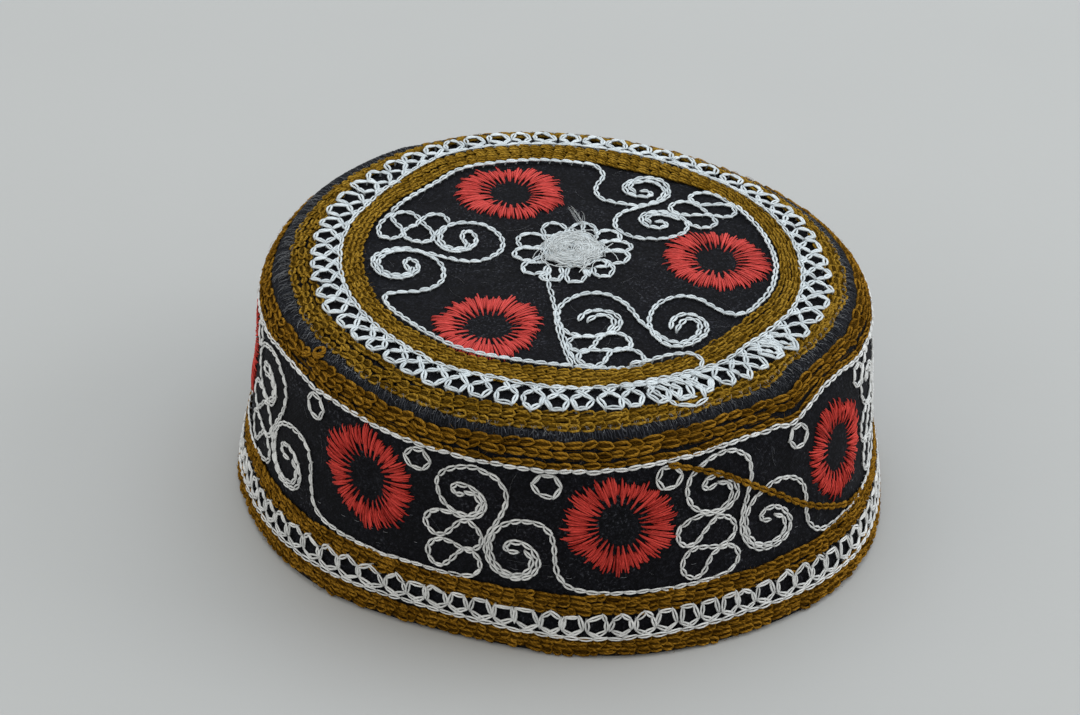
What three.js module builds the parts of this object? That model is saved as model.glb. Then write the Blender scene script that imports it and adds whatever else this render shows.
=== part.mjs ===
// Tubeteika skullcap: a stiff round cap of black cloth with raised bands of
// ochre chain stitch. Millimetres, +Z up, standing on its hem at z = 0, with the
// long axis of its oval along Y.
import * as THREE from "three";

// ---- Driving dimensions ----------------------------------------------------
const CROWN_WALL = 2.4; // thickness of the crown panel
const SIDE_WALL = 2.6; // thickness of the side band
const STITCH_GAP = 0.3; // clearance between cloth and the bands worked on it
const STITCH_HEIGHT = 1.1; // how far a chain-stitch band stands up
const SEAM_HEIGHT = 1.3; // how far the overcast seam roll stands up
const SEAM_SPLIT = 0.6; // slit between crown and side band, under the seam roll
const SEAM_AT = 81.5; // distance of that slit from the crown's middle, along the cloth
const CROWN_LEVEL = 65; // height at which the outline has become the crown's
const CROWN_SHIFT = { x: -1.24, y: 0.71 }; // the crown sits a little off the hem's middle
const CROWN_SLOPE = { x: 0.0044, y: 0.0314 }; // rise of the crown's plane per millimetre
const TURNS = 64; // facets around the cap

// Outer face of the cloth from the middle of the crown down to the hem:
// radius of the section and its height.
const SECTION = [
  { radius: 0, height: 69.8 },
  { radius: 25, height: 69.6 },
  { radius: 45, height: 69.2 },
  { radius: 56, height: 68.9 },
  { radius: 65, height: 68.4 },
  { radius: 72, height: 67.5 },
  { radius: 76.5, height: 66.4 },
  { radius: 79.9, height: 65.0 },
  { radius: 82.5, height: 63.7 },
  { radius: 84.6, height: 61.9 },
  { radius: 85.9, height: 60.0 },
  { radius: 86.9, height: 57.5 },
  { radius: 88.3, height: 44 },
  { radius: 89.3, height: 33 },
  { radius: 90.3, height: 20 },
  { radius: 91.5, height: 12 },
  { radius: 92.5, height: 7.4 },
  { radius: 93.6, height: 0 },
];

// The outline is not a circle. Each row is one wave of the radius around the
// cap: how many lobes it has, its share of the radius and the direction of its
// first lobe in degrees, at the hem and at the crown. Two lobes are the oval,
// three and four the slack corners, seven the hem's gentle scallop between the
// motifs that draw the cloth together.
const OUTLINE = [
  { lobes: 2, hem: 0.017, hemAt: 90, crown: 0.0092, crownAt: 80.3 },
  { lobes: 3, hem: 0.0177, hemAt: 39.3, crown: 0.0129, crownAt: -32.4 },
  { lobes: 4, hem: 0.0078, hemAt: -19.9, crown: 0.0064, crownAt: -30.9 },
  { lobes: 7, hem: 0.0085, hemAt: -22.3, crown: 0, crownAt: 0 },
];

// Bands that follow the section, from one distance from the crown's middle to
// another, measured along the cloth.
const BANDS = [
  { name: "crown_gold_inner", from: 58.0, to: 65.2, height: STITCH_HEIGHT, steps: 2 },
  { name: "crown_gold_outer", from: 73.6, to: 79.2, height: STITCH_HEIGHT, steps: 2 },
  { name: "crown_seam", from: 79.5, to: 83.5, height: SEAM_HEIGHT, steps: 3 },
  { name: "side_gold_upper", from: 83.8, to: 89.9, height: STITCH_HEIGHT, steps: 3 },
  { name: "side_gold_lower", from: 129.6, to: 135.2, height: STITCH_HEIGHT, steps: 1 },
  { name: "hem_gold", from: 143.2, to: 148.4, height: STITCH_HEIGHT, steps: 1 },
];

// ---- Finishes ----------------------------------------------------------------
const BLACK_CLOTH = { color: 0x151517, roughness: 0.9, metalness: 0 };
const OCHRE_WOOL = { color: 0x8a641c, roughness: 0.85, metalness: 0 };
const SEAM_THREAD = { color: 0x2b2d33, roughness: 0.7, metalness: 0 };

// ---- Section -----------------------------------------------------------------
const section = new THREE.CatmullRomCurve3(
  SECTION.map(({ radius, height }) => new THREE.Vector3(radius, height, 0)),
  false,
  "centripetal",
);
section.arcLengthDivisions = 2000;
const SECTION_LENGTH = section.getLength();

// A point of the section: a distance along the cloth, and how far off its outer
// face (positive is outside).
function onSection(distance, off) {
  const u = THREE.MathUtils.clamp(distance / SECTION_LENGTH, 0, 1);
  const point = section.getPointAt(u);
  const along = section.getTangentAt(u);
  return new THREE.Vector2(point.x - along.y * off, point.y + along.x * off);
}

// Closed profile of a layer between two distances and two offsets. The ease
// crowds its steps towards the shoulder: to the end above 1, to the start below.
function layer(from, to, inner, outer, steps, ease = 1) {
  const share = (t) => (ease < 1 ? t ** (1 / ease) : 1 - (1 - t) ** ease);
  const face = (off) =>
    Array.from({ length: steps + 1 }, (_, i) =>
      onSection(THREE.MathUtils.lerp(from, to, share(i / steps)), off),
    );
  return { outside: face(outer), inside: face(inner).reverse() };
}

// ---- From the section to a solid -----------------------------------------------
function outline(angle, level) {
  let hem = 1;
  let crown = 1;
  for (const wave of OUTLINE) {
    const lobe = (at) => Math.cos(wave.lobes * (angle - THREE.MathUtils.degToRad(at)));
    hem += wave.hem * lobe(wave.hemAt);
    crown += wave.crown * lobe(wave.crownAt);
  }
  return THREE.MathUtils.lerp(hem, crown, level);
}

// Turns a profile about the cap's axis, then gives it the cap's outline.
function turned(profile) {
  const geometry = new THREE.LatheGeometry(profile, TURNS);
  geometry.rotateX(Math.PI / 2);
  const position = geometry.getAttribute("position");
  for (let i = 0; i < position.count; i++) {
    const x = position.getX(i);
    const y = position.getY(i);
    const z = position.getZ(i);
    const level = THREE.MathUtils.clamp(z / CROWN_LEVEL, 0, 1);
    const stretch = outline(Math.atan2(y, x), level);
    position.setXYZ(
      i,
      x * stretch + level * CROWN_SHIFT.x,
      y * stretch + level * CROWN_SHIFT.y,
      z + level * (CROWN_SLOPE.x * x + CROWN_SLOPE.y * y) * stretch,
    );
  }
  geometry.computeVertexNormals();
  return geometry;
}

const cap = new THREE.Group();
cap.name = "tubeteika";

function piece(name, profile, finish) {
  const mesh = new THREE.Mesh(turned(profile), new THREE.MeshStandardMaterial(finish));
  mesh.name = name;
  cap.add(mesh);
  return mesh;
}

// ---- Crown: a domed disc of cloth ------------------------------------------------
const crown = layer(0, SEAM_AT - SEAM_SPLIT / 2, -CROWN_WALL, 0, 10, 1.7);
crown.outside[0].x = 0;
crown.inside.at(-1).x = 0;
piece("crown", [...crown.outside, ...crown.inside].reverse(), BLACK_CLOTH);

// ---- Side band: a flared ring with a flat lower edge -------------------------------
const side = layer(SEAM_AT + SEAM_SPLIT / 2, SECTION_LENGTH, -SIDE_WALL, 0, 10, 0.55);
side.outside.at(-1).y = 0;
side.inside[0].y = 0;
piece(
  "side_band",
  [...side.outside, ...side.inside, side.outside[0].clone()].reverse(),
  BLACK_CLOTH,
);

// ---- Raised bands -------------------------------------------------------------------
for (const { name, from, to, height, steps } of BANDS) {
  const band = layer(from, to, STITCH_GAP, STITCH_GAP + height, steps);
  piece(
    name,
    [...band.outside, ...band.inside, band.outside[0].clone()].reverse(),
    name === "crown_seam" ? SEAM_THREAD : OCHRE_WOOL,
  );
}

// ---- Origin: middle of the hem's box, on the surface it stands on ----------------------
const box = new THREE.Box3().setFromObject(cap);
const middle = box.getCenter(new THREE.Vector3());
cap.position.set(-middle.x, -middle.y, -box.min.z);

export default cap;
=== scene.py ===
import math

import bpy
import numpy as np
from mathutils import Matrix, Vector


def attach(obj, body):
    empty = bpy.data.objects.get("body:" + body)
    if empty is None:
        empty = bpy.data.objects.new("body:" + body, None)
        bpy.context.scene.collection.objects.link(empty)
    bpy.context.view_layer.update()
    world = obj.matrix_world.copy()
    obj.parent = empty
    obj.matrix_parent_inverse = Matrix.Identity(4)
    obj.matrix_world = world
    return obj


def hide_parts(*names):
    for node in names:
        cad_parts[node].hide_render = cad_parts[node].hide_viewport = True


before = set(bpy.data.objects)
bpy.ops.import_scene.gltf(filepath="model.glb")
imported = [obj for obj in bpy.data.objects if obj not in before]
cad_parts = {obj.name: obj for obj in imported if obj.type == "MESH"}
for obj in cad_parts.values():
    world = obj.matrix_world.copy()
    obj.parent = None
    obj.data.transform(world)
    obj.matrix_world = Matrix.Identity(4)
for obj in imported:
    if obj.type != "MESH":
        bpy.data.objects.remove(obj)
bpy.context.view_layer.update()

RNG = np.random.default_rng(20)
MM = 0.001

# ---------------------------------------------------------------------------
# The cap's cloth, as the CAD frame has it: a section (radius, height) in
# millimetres turned about the axis, with the outline's waves at hem and crown.
# ---------------------------------------------------------------------------
SECTION = np.array([
    (0, 69.8), (25, 69.6), (45, 69.2), (56, 68.9), (65, 68.4), (72, 67.5), (76.5, 66.4), (79.9, 65.0),
    (82.5, 63.7), (84.6, 61.9), (85.9, 60.0), (86.9, 57.5), (88.3, 44), (89.3, 33), (90.3, 20),
    (91.5, 12), (92.5, 7.4), (93.6, 0)], float)
OUTLINE = [  # lobes, share and direction at the hem, share and direction at the crown
    (2, 0.017, 90.0, 0.0092, 80.3),
    (3, 0.0177, 39.3, 0.0129, -32.4),
    (4, 0.0078, -19.9, 0.0064, -30.9),
    (7, 0.0085, -22.3, 0.0, 0.0)]
CROWN_LEVEL = 65.0
CROWN_SHIFT = (-1.24, 0.71)
CROWN_SLOPE = (0.0044, 0.0314)
MIDDLE = (1.5217, 0.8930)
CROWN_WALL, SIDE_WALL = 2.4, 2.6
SEAM_AT = 81.5


def spline(points, per=16, closed=False):
    """Centripetal Catmull-Rom through points, as a dense polyline."""
    p = np.asarray(points, float)
    k = len(p)
    out = []
    for i in range(k if closed else k - 1):
        p1, p2 = p[i], p[(i + 1) % k]
        p0 = p[(i - 1) % k] if closed or i > 0 else 2 * p1 - p2
        p3 = p[(i + 2) % k] if closed or i + 2 < k else 2 * p2 - p1
        d0 = max(np.sum((p1 - p0) ** 2) ** 0.25, 1e-4)
        d1 = max(np.sum((p2 - p1) ** 2) ** 0.25, 1e-4)
        d2 = max(np.sum((p3 - p2) ** 2) ** 0.25, 1e-4)
        t1 = ((p1 - p0) / d0 - (p2 - p0) / (d0 + d1) + (p2 - p1) / d1) * d1
        t2 = ((p2 - p1) / d1 - (p3 - p1) / (d1 + d2) + (p3 - p2) / d2) * d1
        t = np.linspace(0, 1, per, endpoint=False)[:, None]
        out.append(p1 + t1 * t + (-3 * p1 + 3 * p2 - 2 * t1 - t2) * t * t + (2 * p1 - 2 * p2 + t1 + t2) * t ** 3)
    out.append(p[:1] if closed else p[-1:])
    return np.concatenate(out)


_line = spline(SECTION, 60)
_run = np.r_[0, np.cumsum(np.hypot(*np.diff(_line, axis=0).T))]
LENGTH = float(_run[-1])
_tan = np.gradient(_line, _run, axis=0)
_tan /= np.linalg.norm(_tan, axis=1)[:, None]


def surface(theta, s, off):
    """Point of the cloth in metres: direction, distance along the cloth from the crown's middle and height over it."""
    theta, s, off = np.broadcast_arrays(np.asarray(theta, float), np.asarray(s, float), np.asarray(off, float))
    r = np.interp(s, _run, _line[:, 0]) - np.interp(s, _run, _tan[:, 1]) * off
    z = np.interp(s, _run, _line[:, 1]) + np.interp(s, _run, _tan[:, 0]) * off
    past = np.maximum(s - LENGTH, 0)
    z = z - past
    level = np.clip(z / CROWN_LEVEL, 0, 1)
    hem = np.ones_like(theta)
    crown = np.ones_like(theta)
    for lobes, a, at, b, bt in OUTLINE:
        hem = hem + a * np.cos(lobes * (theta - math.radians(at)))
        crown = crown + b * np.cos(lobes * (theta - math.radians(bt)))
    k = hem * (1 - level) + crown * level
    x, y = r * np.cos(theta), r * np.sin(theta)
    return np.stack([
        x * k + level * CROWN_SHIFT[0] + MIDDLE[0],
        y * k + level * CROWN_SHIFT[1] + MIDDLE[1],
        z + level * (CROWN_SLOPE[0] * x + CROWN_SLOPE[1] * y) * k], -1) * MM


# Flat charts of the cloth. Each takes (x, y, height) in millimetres.
TURN = -41.735  # the crown's chart is turned like this, in degrees


def crown_chart(p):
    a = math.radians(TURN)
    x = p[..., 0] * math.cos(a) - p[..., 1] * math.sin(a)
    y = p[..., 0] * math.sin(a) + p[..., 1] * math.cos(a)
    return surface(np.arctan2(y, x), np.hypot(x, y), p[..., 2])


def ring_chart(radius):
    def chart(p):
        return surface(p[..., 0] / radius, p[..., 1], p[..., 2])
    return chart


SIDE_R, CROWN_R = 91.0, 70.0
side_chart = ring_chart(SIDE_R)
rim_chart = ring_chart(CROWN_R)
SIDE_DEG = math.radians(1) * SIDE_R  # millimetres per degree in the side's chart
RIM_DEG = math.radians(1) * CROWN_R


def polar(theta, s):
    """A (direction in degrees, distance) of the crown in the crown's chart."""
    f = math.radians(theta - TURN)
    return (s * math.cos(f), s * math.sin(f))


def around(table, closed=True):
    """Periodic smooth line s(direction in degrees) through a short table."""
    t = np.array(sorted(table), float)
    x = np.r_[t[-1, 0] - 360, t[:, 0], t[0, 0] + 360]
    y = np.r_[t[-1, 1], t[:, 1], t[0, 1]]

    def line(deg):
        d = (np.asarray(deg, float) - x[1]) % 360 + x[1]
        i = np.clip(np.searchsorted(x, d, side="right") - 1, 0, len(x) - 2)
        f = (d - x[i]) / (x[i + 1] - x[i])
        f = f * f * (3 - 2 * f) * 0.5 + f * 0.5
        return y[i] + (y[i + 1] - y[i]) * f
    return line


# ---------------------------------------------------------------------------
# Mesh building from arrays
# ---------------------------------------------------------------------------
class Threads:
    """Collects thread tubes and joins them into one mesh."""

    def __init__(self, sides=4):
        self.sides, self.co, self.quads, self.uv, self.shade, self.count = sides, [], [], [], [], 0

    def add(self, chart, centre, radius, flat=1.0, shade=1.0, sides=None):
        """centre: (threads, points, 3) chart coordinates; radius in millimetres and painted shade (0, darkest, where a
        strand dives into the cloth, 1 on top;
        some pieces add random tone to it), each one number or (threads, points)."""
        n, m = centre.shape[:2]
        if n == 0:
            return
        c = chart(centre)
        lifted = centre.copy()
        lifted[..., 2] += 1
        up = chart(lifted) - c
        up /= np.linalg.norm(up, axis=-1, keepdims=True)
        t = np.gradient(c, axis=1)
        t /= np.maximum(np.linalg.norm(t, axis=-1, keepdims=True), 1e-12)
        b = np.cross(t, up)
        b /= np.maximum(np.linalg.norm(b, axis=-1, keepdims=True), 1e-9)
        w = np.cross(b, t)
        r = np.broadcast_to(np.asarray(radius, float), (n, m))[..., None, None] * MM
        k = sides or self.sides
        f = np.arange(k) * 2 * np.pi / k
        ring = c[:, :, None] + r * (np.cos(f)[:, None] * b[:, :, None] + flat * np.sin(f)[:, None] * w[:, :, None])
        ring[..., 2] = np.maximum(ring[..., 2], 0.03 * MM)  # nothing hangs below the hem
        self.shade.append(np.repeat(np.broadcast_to(np.asarray(shade, float), (n, m)).ravel(), k))
        i = np.arange(n)[:, None, None] * (m * k)
        j = np.arange(m - 1)[None, :, None] * k
        a = np.arange(k)[None, None, :]
        nxt = (a + 1) % k
        q = np.stack([i + j + a, i + j + k + a, i + j + k + nxt, i + j + nxt], -1)
        step = np.linalg.norm(np.diff(c, axis=1), axis=-1) / MM
        u = np.concatenate([np.zeros((n, 1)), np.cumsum(step, axis=1)], axis=1)
        u0, u1 = u[:, :-1, None] + 0 * a, u[:, 1:, None] + 0 * a
        v0 = (a + 0 * u0) / k
        v1 = v0 + 1 / k
        uv = np.stack([np.stack([u0, v0], -1), np.stack([u1, v0], -1), np.stack([u1, v1], -1), np.stack([u0, v1], -1)], -2)
        self.co.append(ring.reshape(-1, 3))
        self.quads.append(q.reshape(-1, 4) + self.count)
        self.uv.append(uv.reshape(-1, 2))
        self.count += n * m * k

    def mesh(self, name, material):
        ob = mesh_object(name, np.concatenate(self.co), np.concatenate(self.quads), material, np.concatenate(self.uv))
        # the painted shade goes on as a vertex attribute, and the thread material darkens the colour by it
        ob.data.attributes.new("shade", "FLOAT", "POINT").data.foreach_set("value", np.concatenate(self.shade).astype(np.float32))
        return ob


def mesh_object(name, co, quads, material, uv=None):
    me = bpy.data.meshes.new(name)
    me.vertices.add(len(co))
    me.vertices.foreach_set("co", np.ascontiguousarray(co, np.float32).ravel())
    me.loops.add(quads.size)
    me.loops.foreach_set("vertex_index", np.ascontiguousarray(quads, np.int32).ravel())
    me.polygons.add(len(quads))
    me.polygons.foreach_set("loop_start", np.arange(len(quads), dtype=np.int32) * quads.shape[1])
    me.polygons.foreach_set("use_smooth", np.ones(len(quads), bool))
    if uv is not None:
        layer = me.uv_layers.new(name="thread")
        layer.data.foreach_set("uv", np.ascontiguousarray(uv, np.float32).ravel())
    me.update(calc_edges=True)
    me.validate()
    me.materials.append(material)
    ob = bpy.data.objects.new(name, me)
    bpy.context.scene.collection.objects.link(ob)
    return ob


# ---------------------------------------------------------------------------
# Chain stitch. One link is a loop of two strands: it comes up inside the tip of
# the link before, crosses over that tip, bulges and closes at its own tip.
# ---------------------------------------------------------------------------
POINTS = 11
SHAPES = {  # half of the loop: width across, way along, height in strand radii, thickness and painted shade (dark where the strand dives under the link before); the other half mirrors it
    "leaf": ([.08, .40, .84, 1.0, .58, 0], [-.04, .07, .27, .58, .90, 1.10], [-1.0, 1.1, 1.8, 1.7, 1.2, 1.0], [.7, .88, 1.0, 1.06, .95, .85], [.2, .55, .9, 1, .95, .75]),
    "tongue": ([.42, .58, .84, 1.0, .80, 0], [-.02, .10, .34, .70, 1.06, 1.27], [-.9, .4, 1.1, 1.65, 1.85, 1.5], [.8, .9, 1.0, 1.1, 1.1, 1.05], [0, .12, .5, 1, 1, .95]),
    "vee": ([.20, .42, .78, 1.04, .88, 0], [-.04, .10, .36, .72, 1.06, 1.24], [-.9, .5, 1.2, 1.75, 1.85, 1.3], [.78, .9, 1.04, 1.14, 1.1, 1.0], [0, .15, .6, 1, 1, .75])}
SHAPES = {k: (np.r_[a, -np.array(a[-2::-1])], *(np.r_[v, v[-2::-1]] for v in rest)) for k, (a, *rest) in SHAPES.items()}


def nodes_along(points, pitch, closed=False, tight=1.9):
    """Needle holes along a polyline: about a pitch apart, closer together in tight bends."""
    p = np.asarray(points, float)
    if closed:
        p = np.vstack([p, p[:1]]) if np.hypot(*(p[0] - p[-1])) > 1e-6 else p
    d = np.hypot(*np.diff(p, axis=0).T)
    keep = np.r_[True, d > 1e-6]
    p = p[keep]
    run = np.r_[0, np.cumsum(np.hypot(*np.diff(p, axis=0).T))]
    total = run[-1]
    fine = np.linspace(0, total, max(int(total / 0.25), 8))
    q = np.stack([np.interp(fine, run, p[:, 0]), np.interp(fine, run, p[:, 1])], 1)
    g = np.gradient(q, fine, axis=0)
    ang = np.unwrap(np.arctan2(g[:, 1], g[:, 0]))
    k = np.abs(np.gradient(ang, fine))
    width = max(int(pitch / (fine[1] - fine[0])), 1)
    k = np.convolve(np.pad(k, width, mode="edge"), np.ones(width) / width, "same")[width:-width]
    local = np.clip(1.05 / np.maximum(k, 1e-6), tight, pitch)
    phase = np.r_[0, np.cumsum((fine[1] - fine[0]) / local[:-1])]
    n = max(int(round(phase[-1])), 1)
    at = np.interp(np.linspace(0, phase[-1], n + 1), phase, fine)
    return np.stack([np.interp(at, fine, q[:, 0]), np.interp(at, fine, q[:, 1])], 1)


def links(nodes, half, radius, wild=1.0, lift=0.0, shape="leaf", tall=1.0):
    """Links from needle hole to needle hole: (links, POINTS, 3) in a chart, the strand radii and the painted shade."""
    across, along, rise, thick, shade = SHAPES[shape]
    lift = np.broadcast_to(np.asarray(lift, float), (len(nodes),))
    a, b = nodes[:-1], nodes[1:]
    d = b - a
    length = np.maximum(np.hypot(d[:, 0], d[:, 1]), 1e-6)
    d = d / length[:, None]
    n = len(a)
    half = np.broadcast_to(np.asarray(half, float), (n,))[:, None]
    turn = RNG.normal(0, 0.035 * wild, n)
    d = np.stack([d[:, 0] * np.cos(turn) - d[:, 1] * np.sin(turn), d[:, 0] * np.sin(turn) + d[:, 1] * np.cos(turn)], 1)
    side = np.stack([-d[:, 1], d[:, 0]], 1)
    w = half[:, 0] * np.clip(RNG.normal(1, 0.11 * wild, n), 0.6, 1.5)
    stretch = RNG.normal(1, 0.03 * wild, n)
    lean = RNG.normal(0, 0.16 * wild, (n, 1)) * half
    r = radius * RNG.normal(1, 0.06, (n, 1)) * thick[None]
    x = along[None] * (length * stretch)[:, None]
    y = across[None] * w[:, None] + lean * np.clip(along, 0, 1)[None] ** 2
    y = y + RNG.normal(0, 0.05 * wild * half, (n, POINTS))
    f = np.clip(along, 0, 1)[None]
    h = rise[None] * tall * radius * RNG.normal(1, 0.08, (n, 1)) + lift[:-1, None] * (1 - f) + lift[1:, None] * f
    h[:, [0, -1]] = np.minimum(lift[:-1, None], 0.3) - 0.8 * radius
    p = a[:, None] + x[..., None] * d[:, None] + y[..., None] * side[:, None]
    return np.concatenate([p, h[..., None]], -1), r, np.broadcast_to(shade, (n, POINTS))


def chain(threads, chart, points, pitch=3.3, half=0.45, radius=0.36, wild=1.0, lift=0.0, closed=False, smooth=True, tight=1.9, shape="leaf"):
    line = spline(points, 12, closed) if smooth else np.asarray(points, float)
    nodes = nodes_along(line, pitch, closed, tight)
    c, r, shade = links(nodes, half, radius, wild, lift(nodes) if callable(lift) else lift, shape)
    threads.add(chart, c, r, shade=shade)


def chain_nodes(threads, chart, nodes, half=0.45, radius=0.36, wild=1.0, lift=0.0, longest=4.9):
    """Links that go straight from corner to corner; a long side takes two."""
    lift = np.broadcast_to(np.asarray(lift, float), (len(nodes),))
    p, h = [np.asarray(nodes[0], float)], [lift[0]]
    for q, hq in zip(nodes[1:], lift[1:]):
        q = np.asarray(q, float)
        n = max(1, int(math.ceil(np.hypot(*(q - p[-1])) / longest)))
        s, hs = p[-1], h[-1]
        p += [s + (q - s) * (i + 1) / n for i in range(n)]
        h += [hs + (hq - hs) * (i + 1) / n for i in range(n)]
    c, r, shade = links(np.array(p), half, radius, wild, np.array(h))
    threads.add(chart, c, r, shade=shade)


# ---------------------------------------------------------------------------
# Materials, all procedural
# ---------------------------------------------------------------------------
class Nodes:
    def __init__(self, name):
        self.material = bpy.data.materials.new(name)
        self.material.use_nodes = True
        self.tree = self.material.node_tree
        self.shader = self.tree.nodes["Principled BSDF"]

    def new(self, kind, **inputs):
        node = self.tree.nodes.new(kind)
        for k, v in inputs.items():
            self.put(node, k, v)
        return node

    def put(self, node, key, value):
        socket = node.inputs[int(key[1:])] if key[0] == "_" and key[1:].isdigit() else node.inputs[key.replace("_", " ")]
        if isinstance(value, bpy.types.NodeSocket):
            self.tree.links.new(value, socket)
        else:
            socket.default_value = value

    def math(self, operation, a, b=0.0, clamp=False):
        node = self.tree.nodes.new("ShaderNodeMath")
        node.operation = operation
        node.use_clamp = clamp
        self.put(node, "_0", a)
        self.put(node, "_1", b)
        return node.outputs[0]

    def mix(self, factor, a, b, blend="MIX"):
        node = self.tree.nodes.new("ShaderNodeMix")
        node.data_type = "RGBA"
        node.blend_type = blend
        self.put(node, "_0", factor)
        self.put(node, "_6", a if isinstance(a, bpy.types.NodeSocket) else (*a, 1))
        self.put(node, "_7", b if isinstance(b, bpy.types.NodeSocket) else (*b, 1))
        return node.outputs[2]

    def ramp(self, value, low, high):
        node = self.tree.nodes.new("ShaderNodeMapRange")
        node.interpolation_type = "SMOOTHSTEP"
        self.put(node, "_0", value)
        self.put(node, "_1", low)
        self.put(node, "_2", high)
        return node.outputs[0]

    def noise(self, scale, detail=2.0, rough=0.5, vector=None):
        node = self.tree.nodes.new("ShaderNodeTexNoise")
        self.put(node, "Scale", scale)
        self.put(node, "Detail", detail)
        self.put(node, "Roughness", rough)
        if vector is not None:
            self.put(node, "Vector", vector)
        return node.outputs["Fac"]


def thread_material(name, colour, dark, pale, rough, sheen, ply, strength, spread=0.5, gloss=0.25, groove_dark=0.38, deep=0.4):
    """Twisted yarn: plies wind round the strand, each link a little lighter or darker, fibres along it, with painted
    shade in the grooves and where the strand dives into the cloth.
    """
    m = Nodes(name)
    uv = m.new("ShaderNodeUVMap")
    uv.uv_map = "thread"
    split = m.new("ShaderNodeSeparateXYZ", _0=uv.outputs[0])
    geo = m.new("ShaderNodeNewGeometry")
    island = geo.outputs["Random Per Island"]
    coord = m.new("ShaderNodeTexCoord").outputs["Object"]
    wind = m.math("ADD", m.math("MULTIPLY", split.outputs[0], ply), m.math("MULTIPLY", split.outputs[1], 2.0))
    twist = m.math("SINE", m.math("MULTIPLY", wind, 2 * math.pi))
    groove = m.math("ADD", m.math("MULTIPLY", twist, 0.5), 0.5)
    stretch = m.new("ShaderNodeCombineXYZ", _0=m.math("MULTIPLY", split.outputs[0], 0.35), _1=m.math("MULTIPLY", split.outputs[1], 2.6), _2=m.math("MULTIPLY", island, 37.0))
    fibre = m.noise(3.0, 3.0, 0.6, stretch.outputs[0])
    patch = m.noise(140.0, 2.0, 0.5, coord)
    tone = m.math("ADD", m.math("MULTIPLY", island, spread), m.math("MULTIPLY", patch, 1 - spread))
    base = m.mix(m.ramp(tone, 0.15, 0.85), dark, pale)
    base = m.mix(0.45, base, colour)
    # painted shade in the grooves between the plies; then paler fibre streaks, and painted shade in the gaps between
    # fibres
    base = m.mix(m.math("MULTIPLY", m.math("SUBTRACT", 1.0, groove), groove_dark), base, tuple(0.35 * c for c in dark))
    base = m.mix(m.math("MULTIPLY", m.ramp(fibre, 0.50, 0.68), 0.5), base, pale)
    base = m.mix(m.math("MULTIPLY", m.math("SUBTRACT", 1.0, m.ramp(fibre, 0.32, 0.48)), groove_dark), base, tuple(0.7 * c for c in dark))
    # painted shade: towards a dark share (deep) of the dark colour where the vertex attribute says the strand dives in
    shade = m.new("ShaderNodeAttribute")
    shade.attribute_name = "shade"
    base = m.mix(shade.outputs["Fac"], tuple(deep * c for c in dark), base)
    height = m.math("ADD", m.math("MULTIPLY", groove, 0.6), m.math("MULTIPLY", fibre, 0.5))
    bump = m.new("ShaderNodeBump", Strength=strength, Distance=0.00016, Height=height)
    m.put(m.shader, "Base Color", base)
    m.put(m.shader, "Roughness", rough)
    m.put(m.shader, "Normal", bump.outputs[0])
    m.put(m.shader, "Sheen Weight", sheen)
    m.put(m.shader, "Sheen Roughness", 0.45)
    m.put(m.shader, "Specular IOR Level", gloss)
    return m.material


def cloth_material(name, colour, lint, lint_share, sheen):
    """Black woollen cloth: fine twill lines under felted nap, with pale lint caught in it."""
    m = Nodes(name)
    uv = m.new("ShaderNodeUVMap")
    uv.uv_map = "thread"
    split = m.new("ShaderNodeSeparateXYZ", _0=uv.outputs[0])
    coord = m.new("ShaderNodeTexCoord").outputs["Object"]
    diag = m.math("SINE", m.math("MULTIPLY", m.math("ADD", split.outputs[0], split.outputs[1]), 2 * math.pi / 0.9))
    thread = m.math("SINE", m.math("MULTIPLY", m.math("SUBTRACT", split.outputs[0], split.outputs[1]), 2 * math.pi / 0.6))
    weave = m.math("ADD", m.math("MULTIPLY", diag, 0.5), m.math("MULTIPLY", thread, 0.25))
    nap = m.noise(1900.0, 4.0, 0.65, coord)
    broad = m.noise(90.0, 3.0, 0.55, coord)
    fine = m.noise(900.0, 2.0, 0.5, coord)
    base = m.mix(m.ramp(broad, 0.3, 0.75), tuple(0.55 * c for c in colour), tuple(1.35 * c for c in colour))
    base = m.mix(m.math("MULTIPLY", m.ramp(nap, 0.46, 0.70), 0.8), base, tuple(4.4 * c for c in colour))
    base = m.mix(m.math("MULTIPLY", m.ramp(fine, 0.35, 0.62), 0.55), tuple(0.4 * c for c in colour), base)
    base = m.mix(m.math("MULTIPLY", m.ramp(m.math("MULTIPLY", weave, -1.0), 0.1, 0.75), 0.35), base, tuple(0.45 * c for c in colour))
    stretch = m.new("ShaderNodeMapping", _0=coord)
    stretch.inputs["Scale"].default_value = (1.0, 0.35, 1.0)
    speck = m.ramp(m.noise(520.0, 4.0, 0.75, stretch.outputs[0]), 1 - lint_share, 1 - lint_share + 0.05)
    thin = m.ramp(fine, 0.45, 0.6)
    base = m.mix(m.math("MULTIPLY", m.math("MULTIPLY", speck, thin), 0.55), base, lint)
    dust = m.ramp(m.noise(1250.0, 2.0, 0.6, coord), 0.55, 0.72)
    where = m.math("ADD", m.math("MULTIPLY", m.ramp(m.noise(45.0, 3.0, 0.6, coord), 0.42, 0.66), 0.8), 0.2)
    base = m.mix(m.math("MULTIPLY", m.math("MULTIPLY", dust, where), 0.55), base, lint)
    height = m.math("ADD", m.math("MULTIPLY", nap, 0.7), m.math("MULTIPLY", weave, 0.25))
    bump = m.new("ShaderNodeBump", Strength=0.6, Distance=0.00025, Height=height)
    m.put(m.shader, "Base Color", base)
    m.put(m.shader, "Roughness", 0.92)
    m.put(m.shader, "Normal", bump.outputs[0])
    m.put(m.shader, "Sheen Weight", sheen)
    m.put(m.shader, "Sheen Roughness", 0.55)
    m.put(m.shader, "Specular IOR Level", 0.08)
    return m.material


# one white thread in two copies that differ by painted light: the crown's copy is tinted blue for the cool light from
# above, the side's copy is neutral and lighter
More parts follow.
